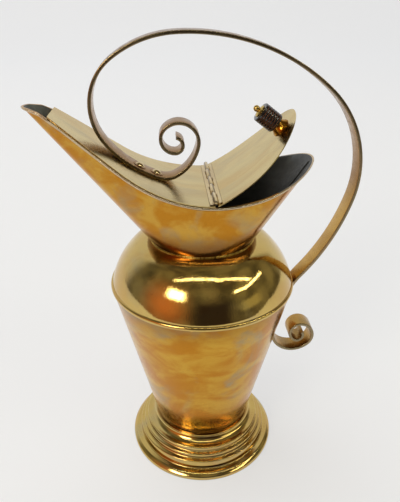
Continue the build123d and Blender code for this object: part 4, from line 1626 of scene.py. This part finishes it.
def sphere_patch(headings, rises, reach):
    """Part of a sphere, with a UV map that runs from 0 at its edges to 1 in its middle."""
    mesh = bmesh.new()
    bmesh.ops.create_grid(mesh, x_segments=PATCH_ACROSS, y_segments=PATCH_UP, size=1)
    edge_map = mesh.loops.layers.uv.new("edge")
    for face in mesh.faces:
        for loop in face.loops:
            x, y, _z = loop.vert.co
            loop[edge_map].uv = (1 - abs(x), 1 - abs(y))
    for vertex in mesh.verts:
        heading = between(headings, (vertex.co.x + 1) / 2)
        rise = between(rises, (vertex.co.y + 1) / 2)
        vertex.co = toward(heading, rise, reach)
    return mesh


def fading_light(name, colours, strength, soft, blotches):
    """A light that fades out towards the edges of its patch, in one colour or two in blotches."""
    material, nodes, links = new_material(name)
    nodes.remove(nodes["Principled BSDF"])
    shine = nodes.new("ShaderNodeEmission")
    shine.inputs["Color"].default_value = (*colours[0], 1.0)
    shine.inputs["Strength"].default_value = strength
    if blotches:
        where = nodes.new("ShaderNodeTexCoord").outputs["Object"]
        blotch = spread(nodes, links, noise(nodes, links, where, blotches, 3.0), 0.35, 0.68)
        links.new(mixed(nodes, links, blotch, *colours), shine.inputs["Color"])
    edge = nodes.new("ShaderNodeUVMap")
    edge.uv_map = "edge"
    apart = nodes.new("ShaderNodeSeparateXYZ")
    links.new(edge.outputs["UV"], apart.inputs[0])
    both = nodes.new("ShaderNodeMath")
    both.operation = "MULTIPLY"
    for socket, axis in zip(both.inputs, ("X", "Y")):
        links.new(spread(nodes, links, apart.outputs[axis], 0.0, soft), socket)
    clear = nodes.new("ShaderNodeBsdfTransparent")
    blend = nodes.new("ShaderNodeMixShader")
    links.new(both.outputs["Value"], blend.inputs["Fac"])
    links.new(clear.outputs["BSDF"], blend.inputs[1])
    links.new(shine.outputs["Emission"], blend.inputs[2])
    links.new(blend.outputs["Shader"], nodes["Material Output"].inputs["Surface"])
    return material


def soft_patch(name, headings, rises, reach, colours, strength, soft, blotches=0.0):
    """Part of a sphere that glows, fades out towards its edges and shows only in reflections."""
    material = fading_light(name + "_light", colours, strength, soft, blotches)
    patch = stage_mesh(name, sphere_patch(headings, rises, reach), material)
    patch.visible_camera = False
    return patch


print("three metres in front of the jug:", [round(v, 2) for v in toward(0, 0, 3.0)])

# %% Patches of the room
room_colours = ((0.10, 0.09, 0.065), (0.28, 0.255, 0.18))
soft_patch("dim_room", (-122, 130), (-38, 128), 3.2, room_colours, 1.0, 0.16, 0.8)
soft_patch("dark_corner", (-24, 42), (-24, 34), 3.0, ((0.04, 0.03, 0.03),), 1.0, 0.6)
soft_patch("warm_corner", (-92, -10), (-24, 50), 2.95, ((0.74, 0.27, 0.10),), 1.0, 1.0)
soft_patch("pale_corner", (38, 76), (1, 17), 2.9, ((0.46, 0.42, 0.26),), 1.0, 0.6)
soft_patch("window", (-56, -24), (21, 38), 2.8, ((1.0, 0.93, 0.74),), 14.0, 0.7)

# %% Tubes of light
TUBE_REACH = 2.6
TUBE_WIDTH = 0.045
TUBE_STRENGTH = 16.0
TUBES = (
    ((-52, 46), (29, 51.5)),
    ((30.5, 51.3), (71.4, 31.9)),
    ((40, 29.8), (59.1, 28.2)),
    ((59.1, 28.2), (90.2, 25.8)),
)
for number, (start, end) in enumerate(TUBES, 1):
    first, last = toward(*start, TUBE_REACH), toward(*end, TUBE_REACH)
    across = (last - first).cross(MIDDLE - first).normalized() * TUBE_WIDTH
    tube_mesh = ribbon([first - across / 2, last - across / 2], across)
    name = f"tube_{number}"
    tube_glow = glow(name + "_light", (1.0, 0.97, 0.8), TUBE_STRENGTH)
    stage_mesh(name, tube_mesh, tube_glow).visible_camera = False

# %% [markdown]
# ## Light
#
# Most of the light is the even glow of the surroundings. One broad lamp overhead gives the jug a
# soft shadow. It could be a sun, but a sun's shadow has a hard edge. It is hidden from the metal,
# where it would show as a white rectangle.

# %% World and ceiling
world = bpy.data.worlds.new("studio")
bpy.context.scene.world = world
world.use_nodes = True
background = world.node_tree.nodes["Background"]
background.inputs["Color"].default_value = (0.93, 0.94, 0.95, 1.0)
background.inputs["Strength"].default_value = 0.75

LAMP_AT = Vector((-0.6, 0.5, 2.6))
LAMP_AIM = Vector((0, 0.2, 0))
lamp = bpy.data.lights.new("ceiling", "AREA")
lamp.shape = "RECTANGLE"
lamp.size, lamp.size_y = 2.6, 2.2
lamp.energy = 34.0
ceiling = bpy.data.objects.new("ceiling", lamp)
bpy.context.collection.objects.link(ceiling)
ceiling.location = LAMP_AT
ceiling.rotation_euler = (LAMP_AIM - LAMP_AT).to_track_quat("-Z", "Y").to_euler()
ceiling.visible_glossy = False

# %% [markdown]
# ## Camera
#
# The camera looks down on the jug from in front, with the spout on the left. A longer lens from
# further away would flatten it, so this one stands close, about 36 cm from the jug's middle.

# %% Camera
CAMERA_AT = Vector((-0.0245, -0.3109, 0.3271))
HEADING = radians(4.23)
LOOK_DOWN = radians(27.95)
camera_data = bpy.data.cameras.new("camera")
camera_data.sensor_width = 36.0
camera_data.lens = 37.15
camera_data.dof.use_dof = False
camera_data.clip_start = 0.02
camera_data.clip_end = 50.0
camera = bpy.data.objects.new("camera", camera_data)
bpy.context.collection.objects.link(camera)
ahead = Vector((sin(HEADING) * cos(LOOK_DOWN), cos(HEADING) * cos(LOOK_DOWN), -sin(LOOK_DOWN)))
camera.location = CAMERA_AT
camera.rotation_euler = ahead.to_track_quat("-Z", "Y").to_euler()
bpy.context.scene.camera = camera
bpy.context.scene.view_settings.view_transform = "Standard"
print("camera at", [round(v, 3) for v in CAMERA_AT])
